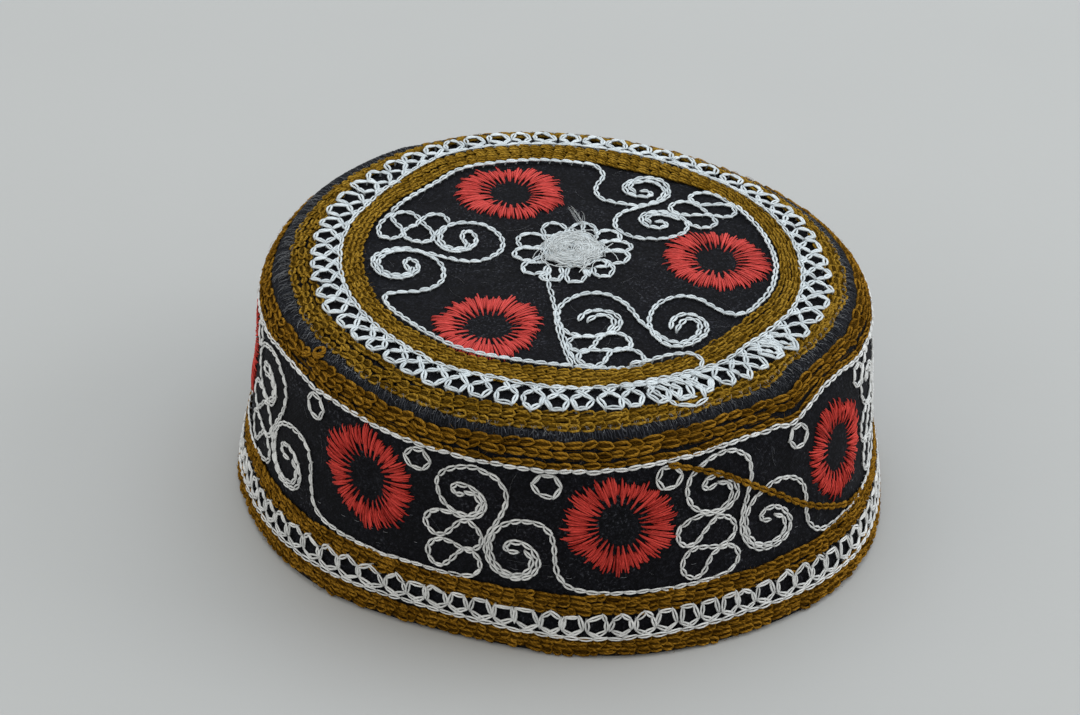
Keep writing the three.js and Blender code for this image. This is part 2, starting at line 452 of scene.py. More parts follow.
WHITE_CROWN_PAINTED_LIGHT = thread_material("white_thread_crown_painted_light", (0.765, 0.832, 0.868), (0.52, 0.570, 0.598), (0.90, 0.962, 0.99), 0.42, 0.0, 0.5, 0.4, gloss=0.5, groove_dark=0.25, deep=0.45)
WHITE = thread_material("white_thread", (0.84, 0.852, 0.848), (0.57, 0.578, 0.572), (0.97, 0.975, 0.965), 0.42, 0.0, 0.5, 0.4, gloss=0.5, groove_dark=0.25, deep=0.45)
SILK = thread_material("white_thread_fine", (0.74, 0.785, 0.80), (0.56, 0.575, 0.565), (0.88, 0.935, 0.965), 0.38, 0.0, 0.5, 0.3, gloss=0.5, groove_dark=0.2, deep=0.4)
# one ochre thread in two copies: the side's copy is darker, painted shade of the side band, which the light from above
# reaches less
OCHRE = thread_material("ochre_thread", (0.305, 0.166, 0.0110), (0.120, 0.056, 0.002), (0.62, 0.372, 0.054), 0.95, 0.0, 0.8, 1.0, gloss=0.03, groove_dark=0.55, deep=0.25)
OCHRE_SIDE_PAINTED_SHADE = thread_material("ochre_thread_side_painted_shade", (0.232, 0.108, 0.0055), (0.080, 0.032, 0.001), (0.56, 0.290, 0.034), 0.95, 0.0, 0.8, 1.0, gloss=0.03, groove_dark=0.55, deep=0.25)
# one red thread in two copies: the side's copy is darker, painted shade of the side band, with a lighter pale end for
# painted highlights on its strands
RED = thread_material("red_thread", (0.70, 0.073, 0.062), (0.42, 0.030, 0.025), (0.88, 0.120, 0.104), 0.6, 0.0, 0.3, 0.4, gloss=0.12, groove_dark=0.3)
RED_SIDE_PAINTED_SHADE = thread_material("red_thread_side_painted_shade", (0.57, 0.036, 0.027), (0.22, 0.008, 0.005), (0.99, 0.112, 0.088), 0.6, 0.0, 0.3, 0.4, gloss=0.12, groove_dark=0.3)
GREY = thread_material("grey_thread", (0.175, 0.183, 0.20), (0.095, 0.10, 0.113), (0.35, 0.36, 0.38), 0.45, 0.0, 0.8, 0.3)
PALE_GREY = thread_material("pale_grey_thread", (0.27, 0.275, 0.28), (0.16, 0.165, 0.17), (0.46, 0.46, 0.455), 0.45, 0.0, 0.8, 0.3)
NAVY = thread_material("navy_thread", (0.016, 0.018, 0.025), (0.007, 0.008, 0.012), (0.040, 0.043, 0.054), 0.6, 0.0, 0.9, 0.5, gloss=0.2)
BLACK = cloth_material("black_cloth", (0.0071, 0.0075, 0.0103), (0.088, 0.092, 0.110), 0.35, 0.015)
SEAM = cloth_material("seam_cloth", (0.0070, 0.0078, 0.0105), (0.16, 0.17, 0.19), 0.36, 0.02)

pieces = []


def finish_piece(ob, slot, *nodes):
    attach(ob, "root")
    if nodes:
        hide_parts(*nodes)
    pieces.append(ob)
    return ob


# ---------------------------------------------------------------------------
# Cloth: crown disc and side band, closed walls with small unevenness
# ---------------------------------------------------------------------------
def uneven(theta, s):
    """Small rise and fall of the cloth, in millimetres."""
    x = theta * 85
    h = 0.10 * np.sin(x * 0.33 + 1.7 * np.sin(s * 0.21)) * np.sin(s * 0.29 + 0.8)
    h = h + 0.06 * np.sin(x * 0.71 + s * 0.43 + 2.0) + 0.04 * np.sin(x * 1.23 - s * 0.9)
    return h


CREASES = [  # direction in degrees, depth in mm, half width in degrees, from and to along the cloth
    (-168.2, 0.55, 0.55, 94.0, 128.0), (-165.9, 0.3, 0.5, 97.0, 126.0), (-47.0, 0.35, 0.6, 95.0, 127.0),
    (9.0, 0.4, 0.7, 94.0, 127.0), (112.0, 0.35, 0.6, 96.0, 128.0)]


def creased(theta, s):
    h = np.zeros(np.broadcast(theta, s).shape)
    for at, depth, half, lo, hi in CREASES:
        d = (np.degrees(theta) - at + 180) % 360 - 180
        h = h - depth * np.exp(-(d / half) ** 2) * np.clip((s - lo) / 8, 0, 1) * np.clip((hi - s) / 6, 0, 1)
    return h


def cloth_wall(name, s_list, wall, turns, capped):
    th = np.linspace(0, 2 * np.pi, turns, endpoint=False)
    s = np.asarray(s_list, float)
    tt, ss = np.meshgrid(th, s)
    fade = np.clip(ss / 12, 0, 1) * np.clip((LENGTH - ss) / 6, 0, 1)
    bump = (uneven(tt, ss) + creased(tt, ss)) * fade
    outer = surface(tt, ss, bump)
    inner = surface(tt[::2], ss[::2], -wall + 0.4 * uneven(tt[::2], ss[::2]))[::-1]
    rows = np.concatenate([outer, inner])
    flat_s = np.concatenate([ss, ss[::2][::-1]])
    if name == "side_cloth":
        k = len(s)
        rows[k - 1, :, 2] = 0.0
        rows[k, :, 2] = 0.0
    n = len(rows)
    co = rows.reshape(-1, 3)
    i = np.arange(n if not capped else n - 1)[:, None]
    j = np.arange(turns)[None, :]
    jn = (j + 1) % turns
    i2 = (i + 1) % n
    quads = np.stack([i * turns + j, i2 * turns + j, i2 * turns + jn, i * turns + jn], -1).reshape(-1, 4)
    u = np.arange(turns + 1) * 2 * np.pi / turns * 85
    ua, ub = np.broadcast_to(u[:-1], (len(i), turns)), np.broadcast_to(u[1:], (len(i), turns))
    va = np.broadcast_to(flat_s[i[:, 0], :1], (len(i), turns))
    vb = np.broadcast_to(flat_s[i2[:, 0], :1], (len(i), turns))
    uv = np.stack([np.stack([ua, va], -1), np.stack([ua, vb], -1), np.stack([ub, vb], -1), np.stack([ub, va], -1)], -2).reshape(-1, 2)
    return mesh_object(name, co, quads, BLACK, uv)


crown_s = np.r_[0.02, np.linspace(1.5, 70, 34), np.linspace(71, SEAM_AT - 0.3, 12)]
if len(crown_s) % 2 == 0:
    crown_s = np.r_[0.02, 0.8, crown_s[1:]]
crown_cloth = cloth_wall("crown_cloth", crown_s, CROWN_WALL, 160, True)
side_s = np.r_[np.linspace(SEAM_AT + 0.3, 92, 12), np.linspace(93.5, LENGTH, 39)]
side_cloth = cloth_wall("side_cloth", side_s, SIDE_WALL, 240, False)
finish_piece(crown_cloth, "black_cloth", "crown")
finish_piece(side_cloth, "black_cloth", "side_band")

# ---------------------------------------------------------------------------
# Ring lines of the embroidery, s in millimetres by direction in degrees
# ---------------------------------------------------------------------------
GOLD_IN_FROM = around([(-175, 57.2), (-165, 57.2), (-150, 55.9), (-140, 55.2), (-130, 55.7), (-120, 56.2), (-110, 57.6), (-100, 58.0), (-92, 57.4), (-82, 57.0), (-72, 57.6), (-60, 59.2), (-45, 60.5), (-28, 60.8), (-12, 61.8), (-2, 61.9), (6, 60.2), (15, 58.6), (28, 57.4), (45, 57.3), (65, 57.6), (80, 58.0), (90, 56.2), (105, 56.2), (120, 57.3), (135, 57.1), (150, 57.6), (168, 57.9)])
GOLD_IN_TO = around([(-175, 64.6), (-160, 64.8), (-147, 64.2), (-130, 64.0), (-115, 63.9), (-105, 64.4), (-92, 65.6), (-80, 64.9), (-68, 66.1), (-55, 66.9), (-35, 66.5), (-18, 67.0), (0, 68.0), (20, 68.0), (40, 67.0), (60, 66.9), (80, 66.8), (90, 64.8), (102, 62.8), (118, 63.2), (135, 64.0), (155, 64.4), (170, 64.4)])
BASE = around([(-175, 65.0), (-163, 65.7), (-155, 65.2), (-148, 64.1), (-140, 64.5), (-130, 65.0), (-120, 64.8), (-110, 64.6), (-100, 65.2), (-90, 66.6), (-80, 65.5), (-70, 66.4), (-60, 67.4), (-45, 67.2), (-30, 67.1), (-15, 68.1), (0, 68.8), (20, 69.0), (40, 68.1), (60, 67.6), (80, 67.7), (90, 65.2), (100, 63.5), (112, 63.4), (125, 64.3), (145, 64.7), (165, 65.0)])
TIPS = around([(-175, 72.7), (-162, 74.0), (-150, 73.4), (-130, 74.2), (-115, 74.0), (-100, 74.5), (-88, 74.9), (-70, 75.5), (-55, 75.6), (-40, 74.7), (-30, 74.2), (-15, 75.7), (0, 76.1), (25, 76.2), (50, 75.6), (75, 75.2), (95, 74.0), (110, 73.4), (130, 72.7), (150, 72.3), (163, 73.3), (172, 72.7)])
SEAM_FROM = around([(-175, 80.2), (-155, 80.3), (-140, 80.0), (-125, 79.4), (-110, 78.3), (-98, 78.1), (-87, 78.8), (-80, 77.7), (-73, 77.2), (-64, 78.2), (-50, 79.2), (-30, 79.6), (0, 79.8), (40, 79.8), (80, 79.6), (115, 79.4), (135, 79.0), (160, 79.1), (175, 79.7)])
SEAM_TO = around([(-175, 82.9), (-165, 83.8), (-155, 83.6), (-145, 82.9), (-125, 82.6), (-108, 81.9), (-98, 81.9), (-87, 82.9), (-77, 81.8), (-68, 81.9), (-55, 82.8), (-30, 83.3), (0, 83.5), (40, 83.6), (80, 83.8), (120, 84.6), (140, 84.8), (155, 83.9), (168, 83.0), (180, 82.8)])
UPPER_LINE = around([(-208, 90.6), (-202, 90.2), (-196, 89.2), (-188, 89.2), (-183, 90.0), (-176, 89.4), (-165, 90.1), (-150, 90.3), (-130, 90.6), (-120, 90.1), (-110, 89.3), (-100, 89.0), (-92, 89.4), (-85.5, 91.0), (-80, 88.7), (-74, 87.4), (-68, 87.9), (-62, 89.4), (-50, 90.2), (-25, 89.6), (0, 90.3), (30, 89.5), (60, 90.3), (90, 89.8), (120, 90.4)])
LOWER_FROM = around([(-180, 129.9), (-150, 129.9), (-120, 129.8), (-90, 129.6), (-60, 129.8), (0, 129.7), (60, 130.0), (120, 129.8)])
LOWER_TO = around([(-180, 135.8), (-130, 136.0), (-90, 135.6), (-40, 135.8), (30, 135.7), (100, 135.9)])
HEM_BASE = around([(-200, 142.6), (-180, 141.7), (-160, 141.2), (-145, 141.9), (-128, 142.9), (-115, 142.2), (-100, 141.4), (-88, 142.2), (-76, 142.9), (-60, 142.5), (-20, 142.3), (20, 142.6), (60, 142.2), (110, 142.5)])
HEM_TOPS = around([(-195, 135.8), (-180, 134.6), (-160, 134.4), (-140, 135.0), (-126, 135.9), (-110, 134.7), (-95, 134.6), (-80, 135.4), (-65, 135.6), (0, 135.2), (70, 135.4)])
HEM_FROM = around([(-180, 142.9), (-130, 143.3), (-100, 142.8), (-60, 143.2), (40, 143.0), (110, 143.0)])


def wool(threads, chart, nodes, half, radius, wild, lift=0.0, keep=slice(None), shape="tongue"):
    """Links of thick wool: two strands a side, the inner ones lower and painted darker as shade."""
    # the inner strands' painted shade is cut to a fifth: a dark core between the outer strands
    for share, up, dim in ((1.0, 0.0, 1.0), (0.42, -0.26, 0.2)):
        c, r, shade = links(nodes, share * half, radius, wild, lift + up, shape, 1.4)
        threads.add(chart, c[keep], r[keep], shade=dim * shade[keep])


def gold_rows(low, high, rows, pitch, half, radius, wild=1.2, lift=0.0, skip=None, apart=2.15, at=None, slim=np.ones_like, shape="tongue"):
    """A band of chain rows between two ring lines, with wool pressed down between rows that lie close, painted dark as
    the shade in the gaps between rows.

    Slim gives the share of the links' width by direction, less than one where the rows stand apart."""
    t = Threads()
    deg = np.linspace(-180, 180, 721)
    for k in range(rows):
        f = at[k] if at else (k + 0.5) / rows
        s = low(deg) * (1 - f) + high(deg) * f
        wave = 0.16 * np.sin(np.radians(deg) * (11 + 3 * k) + 1.3 * k) + 0.10 * np.sin(np.radians(deg) * (29 + k) + 2.1 * k)
        s = s + wave * wild
        r = float(np.mean(np.interp(s, _run, _line[:, 0])))
        p = np.stack([np.radians(deg) * r, s], 1)
        p[-1, 1] = p[0, 1]
        pk = pitch[k] if isinstance(pitch, (list, tuple)) else pitch
        nodes = nodes_along(p, pk)
        nodes[1:-1] += RNG.normal(0, 0.16 * wild, (len(nodes) - 2, 2)) * np.array([1.6, 0.8])
        nodes[:, 0] += RNG.uniform(0, pk)
        hk = half[k] if isinstance(half, (list, tuple)) else half
        rk = radius[k] if isinstance(radius, (list, tuple)) else radius
        keep = np.ones(len(nodes) - 1, bool) if skip is None else ~skip(np.degrees(nodes[1:, 0] / r), k)
        thin = slim(np.degrees(nodes[1:, 0] / r))
        wool(t, ring_chart(r), nodes, hk * thin, rk * (0.5 + 0.5 * thin[:, None]), wild, lift, keep, shape)
    # dark wool between rows that lie close: painted shade in the gaps between rows
    for k in range(1, rows):
        s = low(deg) * (1 - k / rows) + high(deg) * k / rows
        close = np.clip((apart - (high(deg) - low(deg)) / rows) / 0.3, 0, 1) * np.clip((slim(deg) - 0.8) / 0.15, 0, 1)
        t.add(ring_chart(80), np.stack([np.radians(deg) * 80, s, -0.5 + 0.7 * close], 1)[None, ::3], 0.5, shade=0.3)
    return t


def slim_at(centre, reach, less):
    return lambda d: 1 - less * np.exp(-(((d - centre + 180) % 360 - 180) / reach) ** 2)


bands = []
t = gold_rows(lambda d: GOLD_IN_FROM(d) + 0.5, GOLD_IN_TO, 4, 3.3, 0.74, 0.35, slim=slim_at(-38, 30, 0.34), shape="vee")
bands.append((t, "gold_crown_inner", "crown_gold_inner"))
OUT_FROM = lambda d: TIPS(d) - 0.7
t = gold_rows(OUT_FROM, SEAM_FROM, 3, 3.4, 0.86, 0.37, wild=1.5, apart=2.5, shape="vee", skip=lambda d, k: (np.abs((d + 76 + 180) % 360 - 180) < (6.5 if k == 1 else 0.0)))
bands.append((t, "gold_crown_outer", "crown_gold_outer"))
UP_TO = lambda d: UPPER_LINE(d) - 0.3
t = gold_rows(SEAM_TO, UP_TO, 3, [4.2, 3.7, 3.5], [0.84, 0.76, 0.64], [0.39, 0.36, 0.32], wild=1.4, at=[0.16, 0.47, 0.87], slim=slim_at(-72, 26, 0.26))
bands.append((t, "gold_side_upper", "side_gold_upper"))
t = gold_rows(LOWER_FROM, LOWER_TO, 3, 3.1, 0.78, 0.37, wild=1.5, shape="vee")
bands.append((t, "gold_side_lower", "side_gold_lower"))
t = gold_rows(HEM_FROM, lambda d: np.full_like(np.asarray(d, float), 148.1), 3, [3.0, 3.1, 3.3], [0.74, 0.76, 0.80], [0.37, 0.37, 0.38], wild=1.6, shape="vee")
bands.append((t, "gold_hem", "hem_gold"))

# The loose ochre line that strays across the side, and a knot on the shoulder.
STRAY = [(-113, 90.6), (-110, 92), (-106, 94.6), (-102, 97.6), (-98, 102), (-94, 106.6), (-90, 111.2), (-86, 116), (-82, 120), (-78, 123.4), (-74, 126.4), (-70.5, 128.2), (-66, 129.2)]
chain(bands[3][0], side_chart, [(d * SIDE_DEG, s) for d, s in STRAY], 3.6, 0.58, 0.43, 1.2, 0.3)
KNOT = (173.5, 82.0)
turn = np.linspace(0, 4.6 * np.pi, 40)
knot = np.stack([KNOT[0] * SIDE_DEG + (2.1 - 0.055 * turn) * np.cos(turn), KNOT[1] + (1.75 - 0.05 * turn) * np.sin(turn), 1.25 + 0.06 * turn + 0.15 * np.sin(3 * turn)], 1)
bands[2][0].add(side_chart, knot[None], 0.45)

# Short wool hairs that stand off the bands.
for (t, _, _), low, high, n in zip(bands, (GOLD_IN_FROM, OUT_FROM, SEAM_TO, LOWER_FROM, HEM_FROM), (GOLD_IN_TO, SEAM_FROM, UP_TO, LOWER_TO, lambda d: HEM_FROM(d) + 5.6), (260, 260, 360, 300, 420)):
    d = RNG.uniform(-180, 180, n)
    at = np.stack([np.radians(d) * 85, low(d) + (high(d) - low(d)) * RNG.uniform(-0.05, 1.05, n)], 1)
    a, long = RNG.uniform(0, 2 * np.pi, n), RNG.uniform(0.8, 3.0, n)
    f = np.linspace(-0.5, 0.5, 5)
    bend = RNG.normal(0, 0.5, n)
    x = at[:, :1] + long[:, None] * (f * np.cos(a)[:, None] - bend[:, None] * f ** 2 * np.sin(a)[:, None])
    y = at[:, 1:] + long[:, None] * (f * np.sin(a)[:, None] + bend[:, None] * f ** 2 * np.cos(a)[:, None])
    h = 0.9 + RNG.uniform(0.1, 0.8, (n, 1)) - 2.4 * RNG.uniform(0.2, 1, (n, 1)) * f ** 2
    t.add(ring_chart(85), np.stack([x, np.minimum(y, 148.9), h], -1), 0.04, sides=3)

# the side's bands take the ochre copy with painted shade
for t, name, node in bands:
    finish_piece(t.mesh(name, OCHRE if "crown" in name else OCHRE_SIDE_PAINTED_SHADE), "ochre_thread", node)

# ---------------------------------------------------------------------------
# Seam: a soft roll of dark cloth with fine overcasting thread
# ---------------------------------------------------------------------------
def seam_rise(deg):
    """Height of the roll, in millimetres; it is drawn up higher along one stretch at the back."""
    d = (np.asarray(deg, float) + 180) % 360 - 180
    return 0.85 + 0.85 * np.clip((d - 79) / 5, 0, 1) * np.clip((124 - d) / 14, 0, 1)


turns = 360
th = np.linspace(-np.pi, np.pi, turns, endpoint=False)
lo, hi = SEAM_FROM(np.degrees(th)) - 0.9, SEAM_TO(np.degrees(th)) + 0.7
prof = np.linspace(0, 1, 11)
rows = []
for f in prof:
    dome = seam_rise(np.degrees(th)) * np.sin(np.pi * f) ** 0.75 + 0.10
    lumps = 0.10 * np.sin(th * 97 + 5 * f + 2 * np.sin(th * 13)) + 0.08 * np.sin(th * 41 + 9 * f) + 0.07 * np.sin(th * 163 + 3 * f + 3 * np.sin(th * 19))
    rows.append(surface(th, lo + (hi - lo) * f, dome + lumps * np.sin(np.pi * f)))
for f in prof[::-1]:
    rows.append(surface(th, lo + (hi - lo) * f, np.full_like(th, 0.03)))
rows = np.array(rows)
n = len(rows)
i, j = np.arange(n)[:, None], np.arange(turns)[None, :]
quads = np.stack([i * turns + j, (i + 1) % n * turns + j, (i + 1) % n * turns + (j + 1) % turns, i * turns + (j + 1) % turns], -1).reshape(-1, 4)
u = np.arange(turns + 1) * 2 * np.pi / turns * 82
ua, ub = np.broadcast_to(u[:-1], (n, turns)), np.broadcast_to(u[1:], (n, turns))
fv = np.r_[prof, prof[::-1], prof[0]] * 4
va, vb = np.broadcast_to(fv[:-1][:, None], (n, turns)), np.broadcast_to(fv[1:][:, None], (n, turns))
uv = np.stack([np.stack([ua, va], -1), np.stack([ua, vb], -1), np.stack([ub, vb], -1), np.stack([ub, va], -1)], -2).reshape(-1, 2)
seam_roll = mesh_object("seam_roll", rows.reshape(-1, 3), quads, SEAM, uv)
finish_piece(seam_roll, "seam_thread", "crown_seam")

seam_r = 83.0
seam_chart = ring_chart(seam_r)
def across_seam(threads, deg, before, after, slant, radius, over=0.0, uneven_by=0.05):
    """Threads laid over the roll, from its inner edge to its outer edge; slant in millimetres."""
    n = len(deg)
    f = np.linspace(0, 1, 7)
    low, high = SEAM_FROM(deg) - before, SEAM_TO(deg) + after
    dd = deg[:, None] + np.degrees(slant / seam_r)[:, None] * (f[None] - 0.5) + RNG.normal(0, uneven_by, (n, 7))
    ss = low[:, None] + (high - low)[:, None] * f[None]
    share = np.clip((ss - (SEAM_FROM(deg) - 0.9)[:, None]) / (SEAM_TO(deg) - SEAM_FROM(deg) + 1.6)[:, None], 0.03, 0.97)
    hh = seam_rise(deg)[:, None] * np.sin(np.pi * share) ** 0.75 + 0.12 + over + RNG.normal(0, 0.03, (n, 7))
    gold = np.clip((SEAM_FROM(deg)[:, None] - ss) / 0.5, 0, 1)
    hh = np.maximum(hh, gold * 1.45)
    hh[:, -1] = 0.3
    threads.add(seam_chart, np.stack([np.radians(dd) * seam_r, ss, hh], -1), radius)


t = Threads(4)
count = 620
deg = np.linspace(-180, 180, count, endpoint=False) + RNG.normal(0, 0.16, count)
across_seam(t, deg, RNG.uniform(-0.4, 0.5, count), RNG.uniform(-0.5, 0.4, count), RNG.normal(0.5, 0.5, count), RNG.uniform(0.10, 0.21, (count, 1)))
finish_piece(t.mesh("seam_winding", NAVY), "seam_thread")

t = Threads(4)
count = 210
deg = np.linspace(-180, 180, count, endpoint=False) + RNG.normal(0, 0.5, count)
across_seam(t, deg, RNG.uniform(-0.2, 0.9, count), RNG.uniform(-2.6, -0.6, count), RNG.normal(0.2, 1.0, count), RNG.uniform(0.03, 0.06, (count, 1)), 0.17, 0.12)
count = 56  # more of them where the roll is widest
deg = RNG.uniform(112, 186, count)
across_seam(t, deg, RNG.uniform(-1.0, 0.3, count), RNG.uniform(-2.2, 0.2, count), RNG.normal(0.4, 1.6, count), RNG.uniform(0.04, 0.075, (count, 1)), 0.24, 0.25)
finish_piece(t.mesh("seam_overcast", GREY), "seam_thread")

# a fine pale thread catches the outer ochre row and runs down over the roll in two legs
t = Threads(3)
count = 150
deg = np.linspace(-180, 180, count, endpoint=False) + RNG.normal(0, 0.35, count)
across_seam(t, deg, np.full(count, 0.9), RNG.uniform(-2.8, -0.9, count), RNG.normal(1.2, 0.4, count), RNG.uniform(0.028, 0.048, (count, 1)), 0.15, 0.03)
across_seam(t, deg, np.full(count, 0.9), RNG.uniform(-3.0, -1.2, count), RNG.normal(-1.1, 0.4, count), RNG.uniform(0.024, 0.042, (count, 1)), 0.15, 0.03)
f = np.linspace(-1, 1, 5)
dd = deg[:, None] + RNG.normal(0, 0.2, (count, 1)) * f[None]
ss = (SEAM_FROM(deg) - 0.45)[:, None] + 0.5 * f[None] + RNG.normal(0, 0.15, (count, 1))
hh = 1.60 - 0.5 * f[None] ** 2 + RNG.normal(0, 0.05, (count, 1))
t.add(seam_chart, np.stack([np.radians(dd) * seam_r, ss, hh], -1), 0.055)
finish_piece(t.mesh("seam_catches", PALE_GREY), "seam_thread")

# ---------------------------------------------------------------------------
# White chain stitch
# ---------------------------------------------------------------------------
ring = polar
FRONT_ARC = [ring(*p) for p in [(-129, 54.4), (-135, 53.9), (-140, 53.7), (-145, 54.0), (-150, 54.8), (-155, 55.5), (-160, 56.0), (-165, 56.4), (-170, 56.2), (-175, 56.4), (180, 56.3), (175, 56.6), (170, 57.1)]]
SCROLL_A1 = [(-50.6, -25.2), (-50, -23), (-47.5, -21.3), (-44, -20.8), (-41, -20.3), (-38, -19.3), (-35.8, -17), (-34.3, -13.5), (-34.3, -9.5), (-35, -6), (-36.5, -3.3), (-39, -0.8), (-42, 1.4), (-45.5, 2.9), (-49, 2.4), (-52, 0.6), (-54.4, -2.5), (-54.9, -6), (-53.9, -9.5), (-51.6, -12.3), (-48.5, -13.6), (-45.5, -13.3), (-43, -11.6), (-41.6, -9), (-41.6, -6), (-42.7, -4), (-44.3, -2.9), (-45.7, -4.2), (-45.3, -6.8), (-44.2, -9)]
SCROLL_A2 = [(-43.2, -7.4), (-43.0, -9.6), (-44.6, -11.6), (-48.4, -12.1), (-51, -10.9), (-52.8, -8.4), (-53.3, -5.4), (-52.7, -2.4), (-50.5, 0), (-47.5, 1.6), (-44, 1.7), (-41, 0.6), (-38, -0.3), (-35, -1.4), (-32, -2.7), (-28.5, -3.7), (-25, -3.5), (-22, -2), (-19.5, 0.3), (-18, 3.5), (-17.6, 7), (-18.3, 10.5), (-19.8, 13.5), (-22, 16), (-25, 17.4), (-28.5, 17.8), (-32, 17.1), (-34.8, 15), (-36.6, 12), (-37.1, 8.5), (-36, 4.8), (-33.7, 2.2), (-31, 1.7), (-28.2, 2.5), (-26.2, 4.2), (-25.3, 7), (-25.5, 10.5), (-26.7, 12.8), (-28.9, 12.9), (-29.5, 10.8), (-29, 8), (-28.2, 5.4)]
SCROLL_A3 = [(-27.4, 6.6), (-28, 4.0), (-30.6, 3.0), (-33, 3.2), (-34.9, 5.4), (-35.8, 8.5), (-35.4, 11.8), (-34.2, 14.6)]
CLUSTER_A = [(-33.4, 17.8), (-34.3, 20.9), (-37, 22.4), (-40, 21.2), (-41.7, 18.3), (-40.3, 15.7), (-38.5, 13), (-37.6, 10), (-38.2, 7.2), (-41, 6.1), (-43.8, 6.8), (-46, 9), (-46.7, 11.8), (-45.2, 14.3), (-42.7, 16), (-41.8, 19), (-43.3, 21.8), (-46, 23.5), (-49, 22.6), (-50.2, 19.8), (-49, 16.8), (-47, 14), (-46.4, 11), (-47.6, 9), (-50.2, 7.9), (-53.2, 9.2), (-54, 12.5), (-53.6, 16), (-52.2, 19.2), (-50, 22.6)]
BACK_ARC = [ring(*p) for p in [(109, 55.0), (105, 54.7), (100, 54.5), (95, 54.5), (90, 54.9), (86, 55.8), (82, 57.0), (78, 57.2), (72, 56.7), (65, 56.4), (58, 56.3), (50, 56.2), (44, 55.9)]]
SCROLL_B1 = [(8.7, 55.2), (10.7, 53), (11.6, 50), (10.8, 47), (9.6, 44), (9, 41), (9.3, 38), (10.8, 35.8), (13, 34.3), (16, 33.3), (19.5, 32.8), (23, 32.9), (26.5, 34), (29, 36.3), (30.8, 39), (31.6, 42), (31, 45), (29.3, 47.7), (26.5, 49.2), (23.5, 49.3), (20.5, 48.2), (18.5, 46), (17.7, 43.5), (18, 41), (19.5, 39.3), (22, 38.3), (25, 38.3), (26.3, 40), (25, 42), (22.9, 41.7)]
SCROLL_B2 = [(21.2, 40.8), (19.6, 42.4), (19.7, 45.2), (22, 47.3), (25, 47.8), (27.6, 46.8), (29.5, 44.5), (30.1, 41.5), (29.3, 38.5), (27.3, 35.6), (24.5, 33.1), (21.8, 31.4), (19.4, 29.7), (17, 27.5), (15.3, 24.8), (14.7, 21.5), (15.2, 18.5), (16.5, 16), (18.8, 14), (21.5, 13), (24.8, 12.6), (28, 13), (31, 14.2), (33.8, 16.5), (35.5, 19.3), (35.9, 22.5), (35, 25.5), (33, 27.8), (30.3, 29.1), (27, 29.3), (24.2, 28.3), (22.6, 26), (22.5, 23.2), (23.7, 20.8), (26, 19.3), (28.8, 19.7), (30, 21.5), (29, 23.3), (26.9, 23.2)]
SCROLL_B3 = [(25.2, 22.6), (24, 24.6), (25.4, 27.0), (28.4, 27.8), (31.2, 27.0), (33.6, 25.2)]
CLUSTER_B = [(35.2, 24.6), (37.2, 22), (39.5, 20.6), (42.3, 21.2), (44.3, 24), (43.6, 27), (42, 30), (40.5, 33), (38.5, 35.3), (36, 36.5), (33, 35.3), (31.2, 32.7), (31.7, 30), (34, 28.2), (37, 28), (40.5, 28.5), (43.5, 28.6), (46.3, 27.6), (49, 28.8), (50.3, 31.3), (49.8, 34.5), (47.5, 35.8), (44, 35.4), (40.3, 34.7), (38.3, 36.3), (37.2, 38.8), (38.3, 41.3), (41, 42.7), (44.3, 42.2), (46.8, 40), (48.5, 37.5), (50.5, 34.5)]
RIGHT_ARC = [ring(*p) for p in [(-10.5, 60.8), (-16, 60.3), (-22, 60.0), (-30, 59.6), (-40, 59.6), (-48, 59.3), (-56, 58.8), (-62, 58.0), (-67, 57.2)]]
SCROLL_C1 = [(49.2, -26.2), (46.5, -25.8), (44, -24.3), (41.5, -21.7), (38.5, -19), (35.5, -17.5), (32, -17.8), (29, -19.5), (26.5, -22.5), (24.8, -26), (23.8, -30), (23.9, -34), (24.8, -37.5), (26.5, -40.8), (29, -43), (32, -43.8), (35, -42.6), (37.8, -39.5), (39.7, -36), (40, -32), (39, -29), (36.8, -27.1), (33.8, -26.8), (31.3, -28.5), (30, -31.5), (29.9, -34.4)]
SCROLL_C2 = [(31.4, -35.6), (32.3, -33), (33.3, -30.4), (35.4, -28.8), (37.5, -30), (38.2, -33), (37.5, -36.5), (35.6, -39.4), (33, -41.4), (30, -41.4), (27.6, -39.5), (25.6, -36.8), (23.4, -34.5), (21.4, -31.8), (19.8, -28), (18.3, -24.5), (16, -21.5), (13, -19), (9.5, -18), (6, -18.5), (3, -20), (0.8, -22.5), (-1, -25.5), (-1.8, -29), (-1.5, -32.5), (-0.5, -35.8), (1.5, -38.5), (4.5, -39.8), (8, -39.9), (11.5, -38.8), (14, -37), (15.6, -34), (15.8, -31), (14.5, -28.5), (12, -27), (9, -26.7), (6.3, -27.5), (5, -29.5), (4.4, -31.8)]
SCROLL_C3 = [(6.6, -32.2), (7.8, -30.4), (10.2, -28.9), (12.6, -29.2), (13.9, -31.2), (13.8, -34), (12.3, -36.6)]
CLUSTER_C = [(10.5, -38.8), (9.2, -41.3), (8.5, -44), (7, -46), (4.3, -47.2), (2, -45.8), (1.2, -43), (2.3, -40.6), (5, -39.8), (8.5, -39.7), (11.8, -38.3), (14.5, -37.8), (17.2, -39.2), (18.6, -42), (18.2, -44.5), (15.8, -45.8), (13, -46.5), (12, -49), (11, -52), (8.8, -54), (5.8, -53.3), (4, -51), (4.5, -48), (7, -46.2), (10, -46.2), (13.5, -46), (16.5, -45.2), (19.3, -45.5), (21.5, -47.8), (22.2, -50.8), (20.5, -53.2), (17, -54.2), (12, -54.4), (7, -54.4), (3.3, -54)]
STEM = [(-4.3, -12.5), (-4, -16), (-3.3, -20), (-2.7, -24), (-2.2, -28), (-1.9, -32), (-1.3, -36.5), (-0.6, -41), (0.3, -45.5), (1.2, -49.5), (2.3, -53)]
